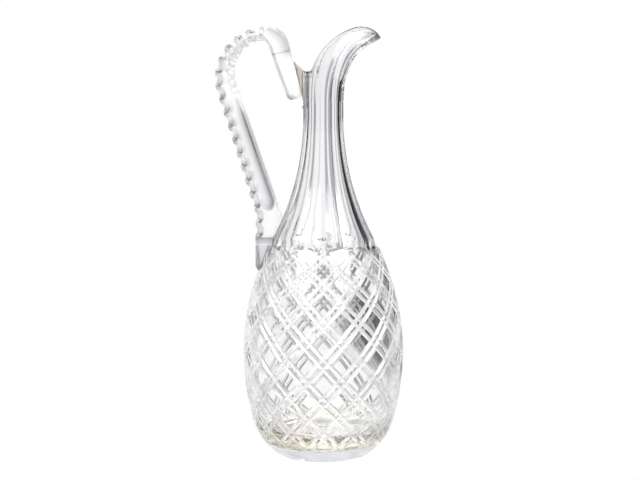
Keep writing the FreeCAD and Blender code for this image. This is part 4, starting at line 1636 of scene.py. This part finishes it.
@dataclass
class Studio:
    """Bright field: white backdrop and floor, shaded sides and four lamps high up."""

    room: Wall = Wall.SHADE
    patches: Sequence[Patch] = (
        Patch(-8.0, 0.0, 34.0, 16.0, Wall.WHITE),
        Patch(-52.0, 8.0, 10.0, 8.0, Wall.WHITE),
        Patch(22.0, 4.0, 11.0, 7.0, Wall.HAZE),
        Patch(180.0, 5.0, 38.0, 14.0, Wall.GREY),
        Patch(62.0, 0.0, 14.0, 8.0, Wall.BLACK),
        Patch(-66.0, 0.0, 12.0, 8.0, Wall.BLACK),
        Patch(142.0, 42.0, 14.0, 6.0, Wall.LAMP),
        Patch(-142.0, 42.0, 14.0, 6.0, Wall.LAMP),
        Patch(38.0, 64.0, 13.0, 6.0, Wall.LAMP),
        Patch(-38.0, 64.0, 13.0, 6.0, Wall.LAMP),
    )
    bounces: int = 32
    glossy_bounces: int = 16
    floor_r: float = 2000.0
    floor_drop: float = 0.5
    floor_segments: int = 96
    floor_shade_at: Span = (150.0, 600.0)
    floor_squeeze: float = 0.3
    floor_shade_r: float = 90.0
    floor_shade_soft: float = 50.0
    floor_tone: tuple[float, float, float, float] = (0.05, 0.05, 0.06, 1.0)
    camera_at: Place = (0.0, -880.0, 242.5)
    look_at: Place = (-2.46, 0.0, 160.0)
    lens: float = 66.4
    sensor: float = 36.0
    nearest: float = 10.0

    def build(self) -> None:
        """Set up the room, the floor, the camera and the picture's tone."""
        self.build_world()
        self.build_floor()
        self.build_camera()
        scene = bpy.context.scene
        scene.view_settings.view_transform = "Standard"
        scene.cycles.max_bounces = self.bounces
        scene.cycles.transmission_bounces = self.bounces
        scene.cycles.glossy_bounces = self.glossy_bounces
        log.info("studio: room, floor and camera set")

    def build_world(self) -> None:
        """Paint the room by direction, one patch over the other; the camera itself sees plain white."""
        world = bpy.data.worlds.new("studio")
        bpy.context.scene.world = world
        world.use_nodes = True
        paint = Paint(world.node_tree)
        towards = paint.node("ShaderNodeTexCoord").outputs["Generated"]
        tone: Colour = self.room.value
        for patch in self.patches:
            facing = paint.vector("DOT_PRODUCT", towards, patch.axis()).outputs["Value"]
            outer = math.cos(math.radians(patch.half_deg + patch.soft_deg))
            inner = math.cos(math.radians(patch.half_deg))
            tone = paint.blend(paint.mask(facing, outer, inner), tone, patch.tone.value)
        camera_ray = paint.node("ShaderNodeLightPath").outputs["Is Camera Ray"]
        background = paint.tree.nodes["Background"]
        background.inputs["Strength"].default_value = 1.0
        paint.tree.links.new(paint.blend(camera_ray, tone, Wall.WHITE.value), background.inputs["Color"])

    def build_floor(self) -> None:
        """Lay a white floor just below the base."""
        bm = bmesh.new()
        bmesh.ops.create_circle(bm, cap_ends=True, segments=self.floor_segments, radius=self.floor_r * MM)
        mesh = bpy.data.meshes.new("floor")
        bm.to_mesh(mesh)
        bm.free()
        mesh.materials.append(self.floor_material())
        floor = bpy.data.objects.new("floor", mesh)
        floor.location.z = -self.floor_drop * MM
        bpy.context.scene.collection.objects.link(floor)

    def floor_material(self) -> bpy.types.Material:
        """Glowing white, with a dark oval that only the glass sees.

        Returns:
            The new material.
        """
        material = bpy.data.materials.new("floor_white")
        material.use_nodes = True
        paint = Paint(material.node_tree)
        nodes, links = paint.tree.nodes, paint.tree.links
        nodes.remove(nodes["Principled BSDF"])
        place = paint.node("ShaderNodeTexCoord").outputs["Object"]
        squeezed = paint.vector("MULTIPLY", place, (1.0, self.floor_squeeze, 0.0)).outputs["Vector"]
        across, away = self.floor_shade_at
        middle = (across * MM, away * MM * self.floor_squeeze, 0.0)
        apart = paint.vector("DISTANCE", squeezed, middle).outputs["Value"]
        edge = self.floor_shade_r + self.floor_shade_soft
        fade = paint.mask(apart, self.floor_shade_r * MM, edge * MM)
        seen = paint.node("ShaderNodeMath", operation="MAXIMUM")
        links.new(fade, seen.inputs[0])
        links.new(paint.node("ShaderNodeLightPath").outputs["Is Camera Ray"], seen.inputs[1])
        glow = paint.node("ShaderNodeEmission")
        glow.inputs["Strength"].default_value = 1.0
        colour = paint.blend(seen.outputs["Value"], self.floor_tone, Wall.WHITE.value)
        links.new(colour, glow.inputs["Color"])
        links.new(glow.outputs["Emission"], nodes["Material Output"].inputs["Surface"])
        return material

    def build_camera(self) -> None:
        """Stand the camera where the photograph was taken from."""
        data = bpy.data.cameras.new("camera")
        data.sensor_width = self.sensor
        data.lens = self.lens
        data.clip_start = self.nearest * MM
        camera = bpy.data.objects.new("camera", data)
        camera.location = Vector(self.camera_at) * MM
        look = Vector(self.look_at) * MM - camera.location
        camera.rotation_euler = look.to_track_quat("-Z", "Y").to_euler()
        bpy.context.scene.collection.objects.link(camera)
        bpy.context.scene.camera = camera


def main() -> None:
    """Dress the frame, set up the studio and note the sizes."""
    vessel = Vessel()
    vessel.build()
    # the handle glass takes its base colour, with its painted shade, from the tone attribute
    Handle(Glass("crystal_handle", clear=0.66, roughness=0.03, toned=True), vessel).build()
    Studio().build()


if __name__ == "__main__":
    main()
